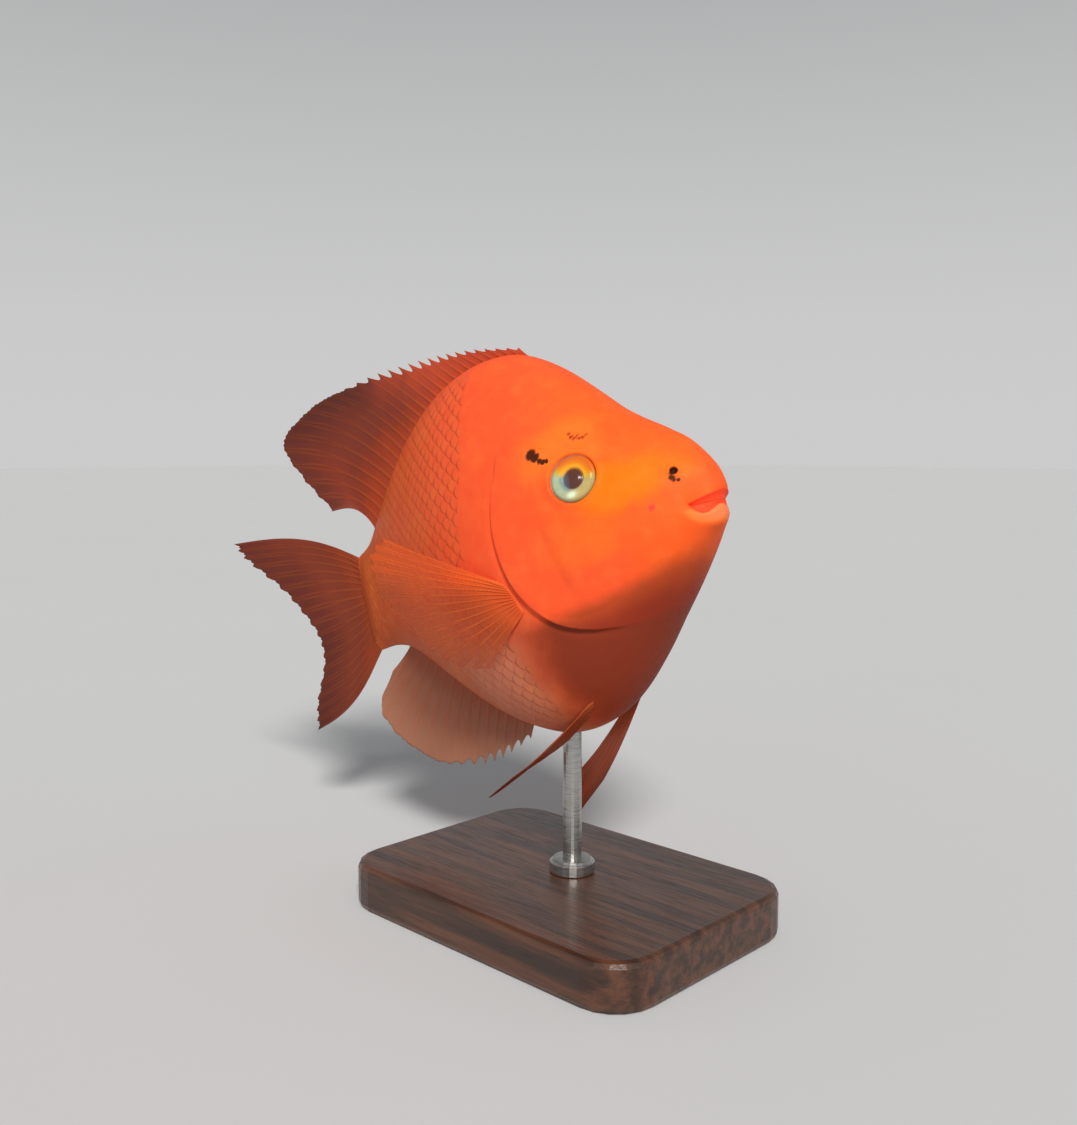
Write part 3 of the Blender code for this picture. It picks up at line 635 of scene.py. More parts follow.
def build_skin(finish):
    """One skin over head, trunk and tail stalk, from the back of the mouth to the tail fin."""
    stops = [snout_line(), section_line(SNOUT_SECTION), as_share(along(GILL_EDGE, SIDE))]
    stops += [section_line(s) for s in (SHOULDER_SECTION, STALK_SECTION, BODY_END)]
    face_steps = np.linspace(0, 1, 45)
    head_steps = spaced(140, lambda t: 1 + 2.4 * bell(t, 0.385, 0.15) + 1.8 * bell(t, 1, 0.07))
    shoulder_steps = spaced(44, lambda t: 1 + 2.2 * bell(t, 0, 0.2))
    steps = [face_steps, head_steps, shoulder_steps, np.linspace(0, 1, 56), np.linspace(0, 1, 48)]
    body = [ring(stops[0])]
    for before, after, shares in zip(stops, stops[1:], steps):
        body += [ring(before * (1 - share) + after * share) for share in shares[1:]]
    body = np.stack(body)
    lips = lip_rings(body[0], ring(stops[0] * 0.98 + stops[1] * 0.02) - body[0])
    start = len(lips)
    points = np.concatenate([np.stack([r for r, _, _ in lips]), body])
    run = np.gradient(points, axis=0)
    turned = np.concatenate([points[:, -1:], points, points[:, :1]], axis=1)
    round_ = (turned[:, 2:] - turned[:, :-2]) / 2
    normal = np.cross(round_, run)
    normal /= np.maximum(np.linalg.norm(normal, axis=-1, keepdims=True), 1e-9)
    cheek = start + len(face_steps) + 15
    normal *= np.sign(np.sum(np.sign(normal[cheek, :, 1] * np.sign(points[cheek, :, 1]))))
    height = np.zeros(points.shape[:2])
    height[start:] = relief(body)
    height[start:start + LIP_FADE] *= np.linspace(0, 1, LIP_FADE)[:, None]
    finished = points + normal * height[..., None]
    mouth = np.zeros(height.shape)
    lip = np.zeros(height.shape)
    for i, (_, inside, edge) in enumerate(lips):
        mouth[i] = inside
        lip[i] = edge
    gill = np.full(height.shape, FAR_AHEAD)
    gill[start:] = gill_distance(body[..., 0], body[..., 2])[0]
    # Share of each point inside a nostril pit, where shade is painted
    pit = np.zeros(height.shape)
    for side in (-1, 1):
        r = distance_from(NOSTRIL_PLACE, points, side)
        hole = 1 - ease(r, NOSTRIL_RADIUS * 0.7, NOSTRIL_RADIUS * 1.25)
        pit = np.maximum(pit, np.where(points[..., 1] * side > 0, hole, 0))
    count = points.shape[1]
    last = (len(points) - 1) * count
    ends = [list(range(count)), list(range(last, last + count))[::-1]]
    attributes = {"fish_s": points[..., 0], "fish_y": points[..., 1], "fish_z": points[..., 2],
                  "mouth": mouth, "lip": lip, "gill": gill, "pit": pit}
    skin = grid_mesh("skin", settle(finished), True, attributes, ends)
    return dress(skin, finish, "skin", "head", "torso", "tail_stalk")


# Scales, with lengths and widths in shares of a scale's height
SCALE_HEIGHT = 4.6
SCALE_SHRINK = 1.9
SCALE_SHRINK_S = (72, 140)
SCALE_WIDTH = 0.56
SCALE_WAIST = (0.22, 0.34)
SCALE_ROUND = 0.36
SCALE_ROOT = 0.2
SCALE_JITTER = 0.05
SCALE_LENGTH = 1.8
SCALE_STEP = 0.5
SCALE_START = 44.0
SCALE_END = 143.5
SCALE_ROWS = np.array([0, 0.3, 0.55, 0.72, 0.84, 0.93, 1])
SCALE_COLUMNS = np.linspace(-1, 1, 7)
SCALE_SINK = 0.12
SCALE_LIFT = 0.1
SCALE_BURIED = 0.05
SCALE_DROP = 0.07
SCALE_THICKNESS = 0.06
SCALE_FADE = (0.0, 18.0)
SCALE_FADE_S = (44, 64)
GILL_CLEAR = 4.5

# Flat map of the scales: one scale's size on it, and the millimetres that fill it each way
PATCH = 0.003
UV_SIZE = (BODY_END + 10, 320)

# Table of heights over the flank: places along s, and distances v up from the middle line
TABLE_S = np.linspace(40, BODY_END + 2, 270)
TABLE_V = np.linspace(-75, 75, 420)


def scale_size(s):
    """Height of one scale at a distance back along the body."""
    return SCALE_HEIGHT - SCALE_SHRINK * ease(s, *SCALE_SHRINK_S)


def flank_table():
    """Height z on the flank for a distance v up from its middle line, measured over the skin."""
    table = np.empty((len(TABLE_S), len(TABLE_V)))
    reach = np.empty((len(TABLE_S), 2))
    share = (1 - np.cos(np.pi * np.linspace(0, 1, 500))) / 2
    for i, s in enumerate(TABLE_S):
        z = belly(s) + share * (back(s) - belly(s))
        y = half_width(s, z)
        arc = np.concatenate([[0], np.cumsum(np.hypot(np.diff(y), np.diff(z)))])
        middle = np.interp(float(widest(s)), z, arc)
        table[i] = np.interp(TABLE_V, arc - middle, z)
        reach[i] = -middle, arc[-1] - middle
    return table, reach


def read_table(table, s, v):
    """Value between the table's points."""
    i = np.clip((s - TABLE_S[0]) / (TABLE_S[1] - TABLE_S[0]), 0, len(TABLE_S) - 1.001)
    j = np.clip((v - TABLE_V[0]) / (TABLE_V[1] - TABLE_V[0]), 0, len(TABLE_V) - 1.001)
    a, b = i.astype(int), j.astype(int)
    p, q = i - a, j - b
    near = table[a, b] * (1 - q) + table[a, b + 1] * q
    far = table[a + 1, b] * (1 - q) + table[a + 1, b + 1] * q
    return near * (1 - p) + far * p


def scale_roots(table, reach, rng):
    """Places in s and v for one side's scales, in rows that run along the body."""
    roots = []
    s = SCALE_START
    column = 0
    while s < SCALE_END:
        size = float(scale_size(s))
        low = np.interp(s, TABLE_S, reach[:, 0])
        high = np.interp(s, TABLE_S, reach[:, 1])
        for row in range(-30, 31):
            v = (row + 0.5 * (column % 2)) * size
            if low + 0.35 * size < v < high - 0.35 * size:
                z = float(read_table(table, np.array(s), np.array(v)))
                away, _ = gill_distance(np.array([s]), np.array([z]))
                if away[0] > GILL_CLEAR:
                    roots.append((s + rng.normal(0, SCALE_JITTER), v + rng.normal(0, SCALE_JITTER),
                                  size, rng.random()))
        s += size * SCALE_STEP
        column += 1
    return np.array(roots)


def build_scales(finish):
    """Low overlapping scales over both flanks, each a thin closed plate laid on the skin."""
    table, reach = flank_table()
    rng = np.random.default_rng(SEED)
    rows, columns = len(SCALE_ROWS), len(SCALE_COLUMNS)
    t, w = np.meshgrid(SCALE_ROWS, SCALE_COLUMNS, indexing="ij")
    index = np.arange(rows * columns).reshape(rows, columns)
    top = np.stack([index[:-1, :-1], index[:-1, 1:], index[1:, 1:], index[1:, :-1]], -1).reshape(-1, 4)
    under = top[:, ::-1] + rows * columns
    rim = np.concatenate([index[0, :], index[1:, -1], index[-1, -2::-1], index[-2:0:-1, 0]])
    following = np.roll(rim, -1)
    wall = np.stack([rim, rim + rows * columns, following + rows * columns, following], -1)
    plate = np.concatenate([top, under, wall])
    twice_t, twice_w = (np.concatenate([grid.ravel()] * 2) for grid in (t, w))
    for side, word in ((-1, "right"), (1, "left")):
        roots = scale_roots(table, reach, rng)
        count = len(roots)
        size = roots[:, 2][:, None, None]
        bend = 1 - SCALE_ROUND * w ** 2
        s = roots[:, 0][:, None, None] + size * SCALE_LENGTH * (t * bend - SCALE_ROOT)
        s = np.minimum(s, BODY_END + 1.5)
        width = SCALE_WIDTH * size * np.sin(np.pi * (SCALE_WAIST[0] + SCALE_WAIST[1] * t))
        v = roots[:, 1][:, None, None] + w * width
        z = read_table(table, s, v)
        point, normal = surface_frame(s, z, side)
        share = (z - belly(s)) / (back(s) - belly(s))
        fade = ease(share, 0.005, 0.06) * (1 - ease(share, 0.95, 0.995))
        away, _ = gill_distance(s, z)
        shown = ease(away, *SCALE_FADE) * ease(s, *SCALE_FADE_S)
        tip_lift = SCALE_LIFT * fade * shown - SCALE_BURIED * (1 - shown)
        lift = -SCALE_SINK + (SCALE_SINK + tip_lift) * t ** 1.3
        lift = lift - SCALE_DROP * np.maximum(ease(t, 0.72, 1), w ** 4)
        upper = point + normal * lift[..., None]
        lower = upper - normal * SCALE_THICKNESS
        both = np.concatenate([upper.reshape(count, -1, 3), lower.reshape(count, -1, 3)], axis=1)
        faces = (plate[None] + (np.arange(count) * len(twice_t))[:, None, None]).reshape(-1, 4)
        plain = np.concatenate([point.reshape(count, -1, 3)] * 2, axis=1)
        away = np.concatenate([away.reshape(count, -1)] * 2, axis=1)
        tip = np.broadcast_to(twice_t, away.shape)
        tone = np.broadcast_to(roots[:, 3:4], away.shape)
        attributes = {"fish_s": plain[..., 0], "fish_y": plain[..., 1], "fish_z": plain[..., 2],
                      "gill": away, "scale_tip": tip, "scale_tone": tone}
        scales = face_mesh("scales_" + word, settle(both).reshape(-1, 3), faces, attributes)
        root_u = roots[:, :1] / UV_SIZE[0]
        root_v = 0.5 + 0.25 * side + roots[:, 1:2] / UV_SIZE[1]
        patch = np.stack([root_u + PATCH * (twice_t - 0.5), root_v + PATCH * twice_w / 2], -1).reshape(-1, 2)
        layer = scales.data.uv_layers.new(name="OFBake")
        layer.data.foreach_set("uv", patch[faces.ravel()].astype(np.float32).ravel())
        dress(scales, finish, "skin")


def scale_material():
    n = Nodes("fish_scales")
    tip = n.attribute("scale_tip")
    tone = n.attribute("scale_tone")
    shade = skin_colour(n)
    shade = n.mix(n.step(tip, 0.84, 1.0, 0, 0.1), shade, "#C8441C")
    shade = n.mix(n.step(tone, 0, 1, 0, 0.08), shade, "#FF8848")
    n.set("Base Color", shade)
    skin_finish(n, 0.1)
    rings = n.math("SINE", n.times(tip, 60.0))
    n.set("Normal", n.bump(rings, 0.1, 0.00006))
    n.set("Roughness", n.step(n.noise(700, 2), 0.3, 0.7, 0.46, 0.6))
    return n.owner


# Eyes, as heights over the flank against the distance from the pupil's middle
EYE_RINGS = 40
EYE_TURNS = 96
EYE_DISH = curve([(0, -0.25), (1.6, -0.45), (2.3, -0.85), (2.55, -0.98), (2.7, -0.78), (3.4, -0.62),
                  (4.7, -0.5), (5.4, -0.62), (5.8, -1.0), (6.15, -1.9)])
CORNEA_HEIGHT = 1.0
CORNEA_EDGE = -0.9
CORNEA_RADIUS = 6.0
CORNEA_RINGS = 24


def round_piece(name, place, side, radii, heights):
    """Surface of turning about the flank's outward direction, with its own coordinates kept."""
    middle, ahead, up, normal = eye_frame(place, side)
    angle = np.linspace(0, 2 * np.pi, EYE_TURNS, endpoint=False)
    forward = radii[:, None] * np.cos(angle)
    rise = radii[:, None] * np.sin(angle)
    points = (middle + forward[..., None] * ahead + rise[..., None] * up
              + np.asarray(heights)[:, None, None] * normal)
    attributes = {"eye_forward": forward, "eye_up": rise}
    return grid_mesh(name, settle(points), True, attributes, [list(range(EYE_TURNS))])


def iris_material():
    n = Nodes("eye_iris")
    forward = n.attribute("eye_forward")
    rise = n.attribute("eye_up")

    def gap_to(place_forward, place_up, squash=1.0):
        return n.length(n.minus(forward, place_forward), n.times(n.minus(rise, place_up), squash))

    r = gap_to(0.0, 0.0)
    grain = n.noise(700, 4, 0.6)
    lean = n.stray(n.plus(rise, n.times(forward, 0.4)), grain, 1.6)
    shade = n.mix(n.step(forward, -2.6, 1.8), "#9DAB88", "#B59F62")
    shade = n.mix(n.step(grain, 0.45, 0.7, 0, 0.25), shade, "#CDD0A0")
    inner = n.times(n.step(r, 4.1, 2.6), n.step(forward, 0.6, -2.4))
    shade = n.mix(n.times(inner, 0.8), shade, "#647F88")
    shade = n.mix(n.step(lean, -0.2, 1.4), shade, "#C2A428")
    shade = n.mix(n.step(lean, 0.9, 3.0), shade, "#E07C0A")
    glow = n.times(n.step(r, 4.2, 3.0), n.step(lean, 0.0, 1.2))
    shade = n.mix(n.times(glow, 0.8), shade, "#F0A21C")
    # Painted reflection: a pale mint patch with pinkish edges on the iris below the pupil
    mint_reflection = gap_to(-0.9, -3.9, 1.5)
    shade = n.mix(n.step(mint_reflection, 2.3, 1.0, 0, 0.35), shade, "#E2B09C")
    shade = n.mix(n.step(mint_reflection, 1.7, 0.3, 0, 0.95), shade, "#D2EBC2")
    edge = n.stray(r, grain, 0.5)
    shade = n.mix(n.step(edge, 4.7, 5.9, 0, 0.7), shade, "#6A5A24")
    top = n.times(n.step(lean, 1.0, 3.6), n.step(r, 3.6, 5.2))
    shade = n.mix(n.times(top, 0.9), shade, "#D0600C")
    hole = n.step(r, PUPIL_RADIUS + 0.4, PUPIL_RADIUS - 0.3)
    # Pupil: dark brown, with a painted grey-blue reflection over its back part
    pupil_with_reflection = n.mix(n.step(forward, -0.4, -2.6, 0, 0.9), "#56322A", "#5F6C78")
    shade = n.mix(hole, shade, pupil_with_reflection)
    n.set("Base Color", shade)
    n.set("Roughness", n.step(hole, 0, 1, 0.45, 0.2))
    n.set("Normal", n.bump(grain, 0.3, 0.0001))
    n.set("Specular IOR Level", 0.3)
    return n.owner


def cornea_material():
    n = Nodes("eye_cornea")
    gloss = n.add("ShaderNodeBsdfGlossy")
    gloss.inputs["Roughness"].default_value = 0.1
    fresnel = n.add("ShaderNodeFresnel")
    fresnel.inputs["IOR"].default_value = 1.22
    n.show(n.blend(n.times(fresnel.outputs[0], 0.6), n.add("ShaderNodeBsdfTransparent"), gloss))
    n.tree.nodes.remove(n.shader)
    return n.owner


def build_eyes(iris, cornea):
    """Iris with a pupil sunk in it and a rounded lens, under a clear cornea."""
    for side, word in ((-1, "right"), (1, "left")):
        radii = np.linspace(0.02, EYE_RADIUS, EYE_RINGS)
        ball = round_piece("eye_" + word + "_iris", EYE_PLACE, side, radii, EYE_DISH(radii))
        dress(ball, iris, "eye", "eye_" + word)
        radii = CORNEA_RADIUS * np.sin(np.linspace(0.004, 0.94, CORNEA_RINGS) * np.pi / 2)
        dome = CORNEA_EDGE + (CORNEA_HEIGHT - CORNEA_EDGE) * np.sqrt(1 - (radii / CORNEA_RADIUS) ** 2)
        dress(round_piece("eye_" + word + "_cornea", EYE_PLACE, side, radii, dome), cornea, "eye")


# Fins, as in the solids. Each FINISH has the thickness added at the root, the share of the rays
# that are spines, and the membrane's ripple
ACROSS = np.array([0, 1.0, 0])
DORSAL_RAYS = 28
DORSAL_FINISH = (1.0, 0.58, 0.5)
DORSAL_ROOT = (50.0, 133.0)
DORSAL_EDGE = [(0, 53, 48.6), (0.2, 74, 56), (0.4, 97, 61.5), (0.6, 122, 64.5),
               (0.75, 147, 64), (0.84, 161, 58), (0.92, 154, 44), (1, 143, 30)]
DORSAL_NOTCH = [(0, 0.3), (0.5, 0.16), (0.62, 0.03), (1, 0.03)]
DORSAL_BOW = 3.5
DORSAL_SWAY = 8.0
ANAL_RAYS = 16
ANAL_FINISH = (0.9, 0.38, 0.4)
ANAL_ROOT = (82.0, 130.0)
ANAL_EDGE = [(0, 86, -52), (0.2, 99, -55.5), (0.45, 117, -55.5), (0.65, 133, -51),
             (0.8, 146, -41.5), (0.9, 149.5, -32.5), (1, 139, -23)]
ANAL_NOTCH = [(0, 0.3), (0.35, 0.12), (0.5, 0.03), (1, 0.03)]
ANAL_SWAY = 2.5
CAUDAL_RAYS = 18
CAUDAL_FINISH = (1.6, 0, 0.6)
CAUDAL_ROOT = (-14.8, 14.0)
CAUDAL_EDGE = [(0, 187, -34.5), (0.15, 181, -26), (0.35, 171, -12), (0.5, 169, -3),
               (0.65, 177, 9), (0.85, 192, 26), (1, 197, 34)]
CAUDAL_NOTCH = [(0, 0.02), (1, 0.02)]
CAUDAL_SPREAD = 4.0
CAUDAL_SWAY = (2.0, 9.0)
CAMBER = 1.5
PAIRED_NOTCH = [(0, 0.03), (1, 0.03)]
PECTORAL_RAYS = 14
PECTORAL_FINISH = (1.0, 0, 0.3)
PECTORAL_ROOT = ((56.5, -12), (52.5, -21))
PECTORAL_ANGLES = [(0, 34), (0.5, 8), (1, -34)]
PECTORAL_LENGTHS = [(0, 38), (0.15, 44), (0.35, 43), (0.6, 35), (0.8, 28), (1, 19)]
PELVIC_RAYS = 6
PELVIC_FINISH = (1.0, 0.1, 0.2)
PELVIC_ROOT = ((50, -46), (56, -50))
PELVIC_DROP_RIGHT = 0.42
PELVIC_DROP_LEFT = 0.8
PELVIC_ANGLES = [(0, 0), (1, 15)]
PELVIC_LENGTHS = [(0, 34), (0.2, 46), (0.5, 38), (1, 25)]

RAY_COLUMNS = 12
FIN_ROWS = 56
MEMBRANE = 0.16
RAY_THICKNESS = 0.6
FIN_SINK = 0.03
FRINGE = 0.006
SCALLOP = 1.1


def ray_height(across, t, spiny):
    """Height of the rays over the membrane, branching twice on the soft part of a fin."""
    spine = bell(across, 0, 0.12 * (1.15 - 0.5 * t)) * (1.15 - 0.55 * t)
    first = 0.15 * ease(t, 0.35, 0.72)
    second = 0.07 * ease(t, 0.66, 0.95)
    reach = np.abs(across)
    branch = np.maximum(bell(reach, first + second, 0.05), bell(reach, first - second, 0.05))
    trunk = bell(across, 0, 0.11)
    soft = (trunk * (1 - ease(t, 0.35, 0.6)) + branch * ease(t, 0.3, 0.6)) * (0.95 - 0.5 * t)
    return spiny * spine + (1 - spiny) * np.minimum(soft, 1)


def fine_fin(name, rays, path, normal, notch, build, finish, nodes):
    """Thin fin with raised rays on both faces. path(u, t) gives its middle surface for arrays."""
    root_thickness, spine_end, ripple = build
    columns = (rays - 1) * RAY_COLUMNS + 1
    u = np.linspace(0, 1, columns)[None]
    t = (np.linspace(0, 1, FIN_ROWS + 1) ** 0.9)[:, None]
    ray_place = u * (rays - 1)
    across = ray_place - np.round(ray_place)
    spiny = 1 - ease(u, spine_end - 0.02, spine_end + 0.03) if spine_end > 0 else 0 * u
    scallop = np.sin(np.pi * np.abs(across)) ** SCALLOP
    fringe = FRINGE * (1 + np.sin(ray_place * 19)) * (1 - spiny) * np.minimum(1, 4 * np.abs(across))
    full = 1 - curve(notch)(u) * scallop - fringe
    reach = (full + FIN_SINK) * t - FIN_SINK
    uu = u + 0 * reach
    middle = path(uu, reach)
    rays_up = ray_height(across + 0 * t, t + 0 * u, spiny + 0 * t)
    swing = ripple * np.sin(uu * 17 + 2.2 * reach) * np.clip(reach, 0, 1) ** 2
    thick = MEMBRANE + root_thickness * (1 - ease(t, 0, 0.16)) + RAY_THICKNESS * rays_up * (1 - 0.55 * t)
    edge = np.minimum(1, np.minimum(uu, 1 - uu) * rays * 2.5)
    thick = thick * (0.35 + 0.65 * edge)
    thick[-1] *= 0.5
    middle = middle + normal * swing[..., None]
    right = middle - normal * thick[..., None] / 2
    left = middle + normal * thick[..., None] / 2
    sheet = np.concatenate([right, left[:, ::-1]], axis=1)
    count = sheet.shape[1]
    close = []
    for base, turn in ((0, 1), (FIN_ROWS * count, -1)):
        for i in range(columns - 1):
            quad = [base + i, base + count - 1 - i, base + count - 2 - i, base + i + 1]
            close.append(quad[::turn])

    def both_faces(grid):
        return np.concatenate([grid, grid[:, ::-1]], axis=1)

    attributes = {"fish_s": middle[..., 0], "fish_z": middle[..., 2], "ray": rays_up, "reach": reach,
                  "across": uu, "spiny": spiny + 0 * reach}
    attributes = {key: both_faces(grid) for key, grid in attributes.items()}
    made = grid_mesh(name, settle(sheet), True, attributes, close)
    return dress(made, finish, "fins", *nodes)


def between(ends, u):
    return ends[0] + (ends[1] - ends[0]) * u


def upright(edge, s0, z0, u, t, sway, rise=0.0):
    """Middle surface of an upright fin, from the line of its root to its edge."""
    rows = np.array(edge, float)
    edge_s = curve(rows[:, [0, 1]])(u)
    edge_z = curve(rows[:, [0, 2]])(u)
    return np.stack([s0 + (edge_s - s0) * t, -sway, z0 + (edge_z - z0) * t + rise], -1)


def dorsal_path(u, t):
    s0 = between(DORSAL_ROOT, u)
    bow = DORSAL_BOW * np.sin(math.pi * t) * ease(u, 0.5, 0.8)
    return upright(DORSAL_EDGE, s0, back(s0), u, t, DORSAL_SWAY * t * t * ease(u, 0.4, 0.9), bow)


def anal_path(u, t):
    s0 = between(ANAL_ROOT, u)
    return upright(ANAL_EDGE, s0, belly(s0), u, t, ANAL_SWAY * t * t * ease(u, 0.3, 1))


def caudal_path(u, t):
    spread = CAUDAL_SPREAD * np.sin(math.pi * t) * (2 * u - 1)
    sway = t * t * (CAUDAL_SWAY[0] + CAUDAL_SWAY[1] * u)
    return upright(CAUDAL_EDGE, BODY_END, between(CAUDAL_ROOT, u), u, t, sway, spread)


def fan(root, side, forward, spread, angles, lengths):
    """Middle surface of a paired fin and its direction across, from rays fanned in one plane."""
    mirror = np.array([1, side, 1.0])
    forward = np.array(forward) * mirror
    forward /= np.linalg.norm(forward)
    spread = np.array(spread) * mirror
    spread = spread - forward * (spread @ forward)
    spread /= np.linalg.norm(spread)
    normal = np.cross(forward, spread)
    normal *= np.sign(normal @ surface_frame(np.array(root[0][0]), np.array(root[0][1]), side)[1])
    angle_at = curve(angles)
    length_at = curve(lengths)

    def path(u, t):
        place, _ = surface_frame(between((root[0][0], root[1][0]), u),
                                 between((root[0][1], root[1][1]), u), side)
        angle = np.radians(angle_at(u))[..., None]
        ray = forward * np.cos(angle) + spread * np.sin(angle)
        cup = normal * (CAMBER * np.sin(math.pi * t * 0.8))[..., None]
        return place + ray * (length_at(u) * t)[..., None] + cup

    return path, normal


def fin_material(name, root, middle, tip, front=None, front_reach=(0.66, 0.34), clear=0.15, glow=0.35):
    """Translucent membrane with denser rays, segmented in their soft part."""
    n = Nodes(name)
    reach = n.attribute("reach")
    ray = n.attribute("ray")
    across = n.attribute("across")
    cloud = n.noise(90, 4, 0.6)
    t = n.stray(reach, cloud, 0.3)
    shade = n.mix(n.step(t, 0.0, 0.4), root, middle)
    shade = n.mix(n.step(t, 0.45, 0.95), shade, tip)
    if front:
        shade = n.mix(n.step(n.stray(across, cloud, 0.2), *front_reach), shade, front)
    joints = n.math("SINE", n.times(reach, 210.0))
    soft = n.minus(1.0, n.attribute("spiny"))
    marks = n.times(n.times(n.step(joints, 0.2, 0.9), soft), n.step(ray, 0.2, 0.6))
    shade = n.mix(n.step(ray, 0.1, 0.7, 0, 0.3), shade, n.mix(0.55, middle, "#F08A48"))
    shade = n.mix(n.times(marks, 0.25), shade, "#4A180E")
    n.set("Base Color", shade)
    n.set("Roughness", 0.48)
    n.set("Specular IOR Level", 0.28)
    bumps = n.plus(n.times(marks, -0.6), n.noise(1200, 2))
    n.set("Normal", n.bump(bumps, 0.25, 0.0001))
    light = n.add("ShaderNodeBsdfTranslucent")
    n.link(shade, light.inputs["Color"])
    glowing = n.blend(glow, n.shader, light)
    thin = n.times(n.step(ray, 0.6, 0.05, 0.3, 1.0), n.step(reach, 0.02, 0.45))
    n.show(n.blend(n.times(thin, clear), glowing, n.add("ShaderNodeBsdfTransparent")))
    return n.owner


def build_fins():
    dorsal = fin_material("fin_dorsal", "#C24A20", "#94381E", "#6E2A1C", "#D9532A", clear=0.12)
    anal = fin_material("fin_anal", "#B45A38", "#B26A4C", "#C08466", clear=0.15)
    caudal = fin_material("fin_caudal", "#B0481E", "#8E381C", "#6C281A", clear=0.12)
    pelvic = fin_material("fin_pelvic", "#B8502A", "#B04C26", "#9A4022", clear=0.2)
    pectoral = fin_material("fin_pectoral", "#F06428", "#D0602E", "#BC5A34", "#F8702C", (0.4, 0.1),
                            clear=0.8, glow=0.3)
    fine_fin("dorsal_fin_fine", DORSAL_RAYS, dorsal_path, ACROSS, DORSAL_NOTCH, DORSAL_FINISH,
             dorsal, ["dorsal_fin"])
    fine_fin("anal_fin_fine", ANAL_RAYS, anal_path, ACROSS, ANAL_NOTCH, ANAL_FINISH,
             anal, ["anal_fin"])
    fine_fin("caudal_fin_fine", CAUDAL_RAYS, caudal_path, ACROSS, CAUDAL_NOTCH, CAUDAL_FINISH,
             caudal, ["caudal_fin_lower", "caudal_fin_upper"])
    for side, word, drop in ((-1, "right", PELVIC_DROP_RIGHT), (1, "left", PELVIC_DROP_LEFT)):
        path, normal = fan(PECTORAL_ROOT, side, (1, 0.1, 0), (0, 0.15, 1), PECTORAL_ANGLES,
                           PECTORAL_LENGTHS)
        fine_fin("pectoral_fin_" + word + "_fine", PECTORAL_RAYS, path, normal, PAIRED_NOTCH,
                 PECTORAL_FINISH, pectoral, ["pectoral_fin_" + word])
        path, normal = fan(PELVIC_ROOT, side, (1, 0.12, -drop), (0, -0.8, 0.4), PELVIC_ANGLES,
                           PELVIC_LENGTHS)
        fine_fin("pelvic_fin_" + word + "_fine", PELVIC_RAYS, path, normal, PAIRED_NOTCH,
                 PELVIC_FINISH, pelvic, ["pelvic_fin_" + word])


def wood_material():
    n = Nodes("stand_wood")
    along_grain = n.stretched((4, 60, 60))
    grain = n.noise(5, 6, 0.62, along_grain)
    pores = n.noise(26, 3, 0.7, along_grain)
    shade = n.mix(n.step(grain, 0.35, 0.68), "#2E1A10", "#5A3521")
    shade = n.mix(n.step(pores, 0.58, 0.72, 0, 0.6), shade, "#1C0F09")
    n.set("Base Color", shade)
    n.set("Roughness", n.step(pores, 0.4, 0.7, 0.34, 0.5))
    n.set("Coat Weight", 0.2)
    n.set("Coat Roughness", 0.2)
    n.set("Normal", n.bump(pores, 0.3, 0.0003))
    return n.owner


def steel_material():
    n = Nodes("stand_steel")
    brush = n.noise(6, 3, 0.6, n.stretched((40, 40, 900)))
    n.set("Base Color", n.mix(n.step(brush, 0.3, 0.7), "#9A9A98", "#C6C6C2"))
    n.set("Metallic", 1.0)
    n.set("Roughness", n.step(brush, 0.3, 0.7, 0.26, 0.4))
    n.set("Normal", n.bump(brush, 0.2, 0.0001))
    return n.owner


def finish_stand():
    for name, finish in (("stand_base", wood_material()), ("stand_rod", steel_material())):
        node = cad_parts[name]
        node.data.materials.clear()
        node.data.materials.append(finish)


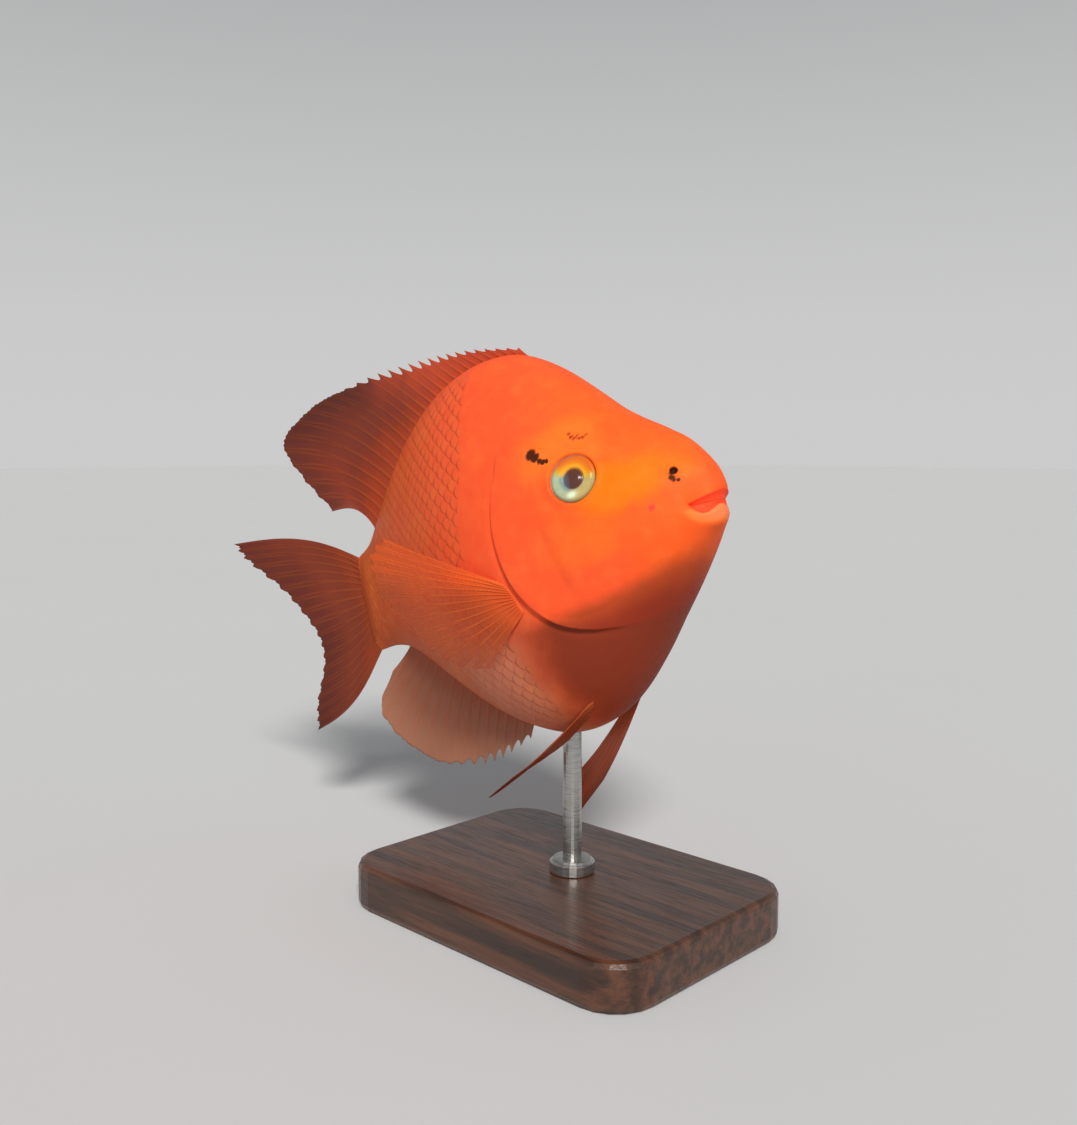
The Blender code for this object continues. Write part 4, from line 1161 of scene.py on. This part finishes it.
def build_camera():
    data = bpy.data.cameras.new("camera")
    camera = put_object("camera", data)
    away = Vector((math.sin(VIEW_TURN) * math.cos(VIEW_RISE),
                   -math.cos(VIEW_TURN) * math.cos(VIEW_RISE), math.sin(VIEW_RISE)))
    pivot = Vector((PIVOT_X, 0, PIVOT_HEIGHT)) * MM
    camera.location = pivot + away * VIEW_DISTANCE
    camera.rotation_euler = away.to_track_quat("Z", "Y").to_euler()
    data.sensor_fit = "VERTICAL"
    data.sensor_height = SENSOR
    data.lens = FOCAL_PIXELS / PHOTO_HEIGHT * SENSOR
    data.shift_x = -SHIFT_PIXELS[0] / PHOTO_HEIGHT
    data.shift_y = SHIFT_PIXELS[1] / PHOTO_HEIGHT
    data.clip_start = 0.01
    bpy.context.scene.camera = camera


# Light: a soft sun from above on the head's side, under a sky that is brightest at its foot
KEY_WAY = (0.6, -0.5, 0.62)
KEY_STRENGTH = 3.4
KEY_SPREAD = math.radians(14)
KEY_COLOUR = (1.0, 0.97, 0.93)
HORIZON = (0.60, 0.60, 0.60, 1)
ZENITH = (0.24, 0.25, 0.26, 1)
SKY_SPAN = (0.02, 0.75)
FLOOR_HALF = 8.0


def build_stage():
    """Pale floor that runs out to a pale horizon, and soft light."""
    mesh = bpy.data.meshes.new("floor")
    h = FLOOR_HALF
    mesh.from_pydata([(-h, -h, 0), (h, -h, 0), (h, h, 0), (-h, h, 0)], [], [(0, 1, 2, 3)])
    floor = put_object("floor", mesh)
    n = Nodes("floor")
    n.set("Base Color", n.mix(n.noise(3, 3), "#CACBCC", "#CDCECF"))
    n.set("Roughness", 0.9)
    n.set("Specular IOR Level", 0.1)
    mesh.materials.append(n.owner)

    n = Nodes("studio", bpy.data.worlds)
    bpy.context.scene.world = n.owner
    parts = n.add("ShaderNodeSeparateXYZ")
    n.link(n.add("ShaderNodeTexCoord").outputs["Generated"], parts.inputs[0])
    sky = n.mix(n.step(parts.outputs["Z"], *SKY_SPAN), HORIZON, ZENITH)
    n.link(sky, n.tree.nodes["Background"].inputs["Color"])

    data = bpy.data.lights.new("key", "SUN")
    data.energy = KEY_STRENGTH
    data.angle = KEY_SPREAD
    data.color = KEY_COLOUR
    key = put_object("key", data)
    key.rotation_euler = Vector(KEY_WAY).to_track_quat("Z", "Y").to_euler()
    bpy.context.scene.view_settings.view_transform = "Standard"


build_camera()
build_skin(skin_material())
build_scales(scale_material())
build_eyes(iris_material(), cornea_material())
build_fins()
finish_stand()
build_stage()
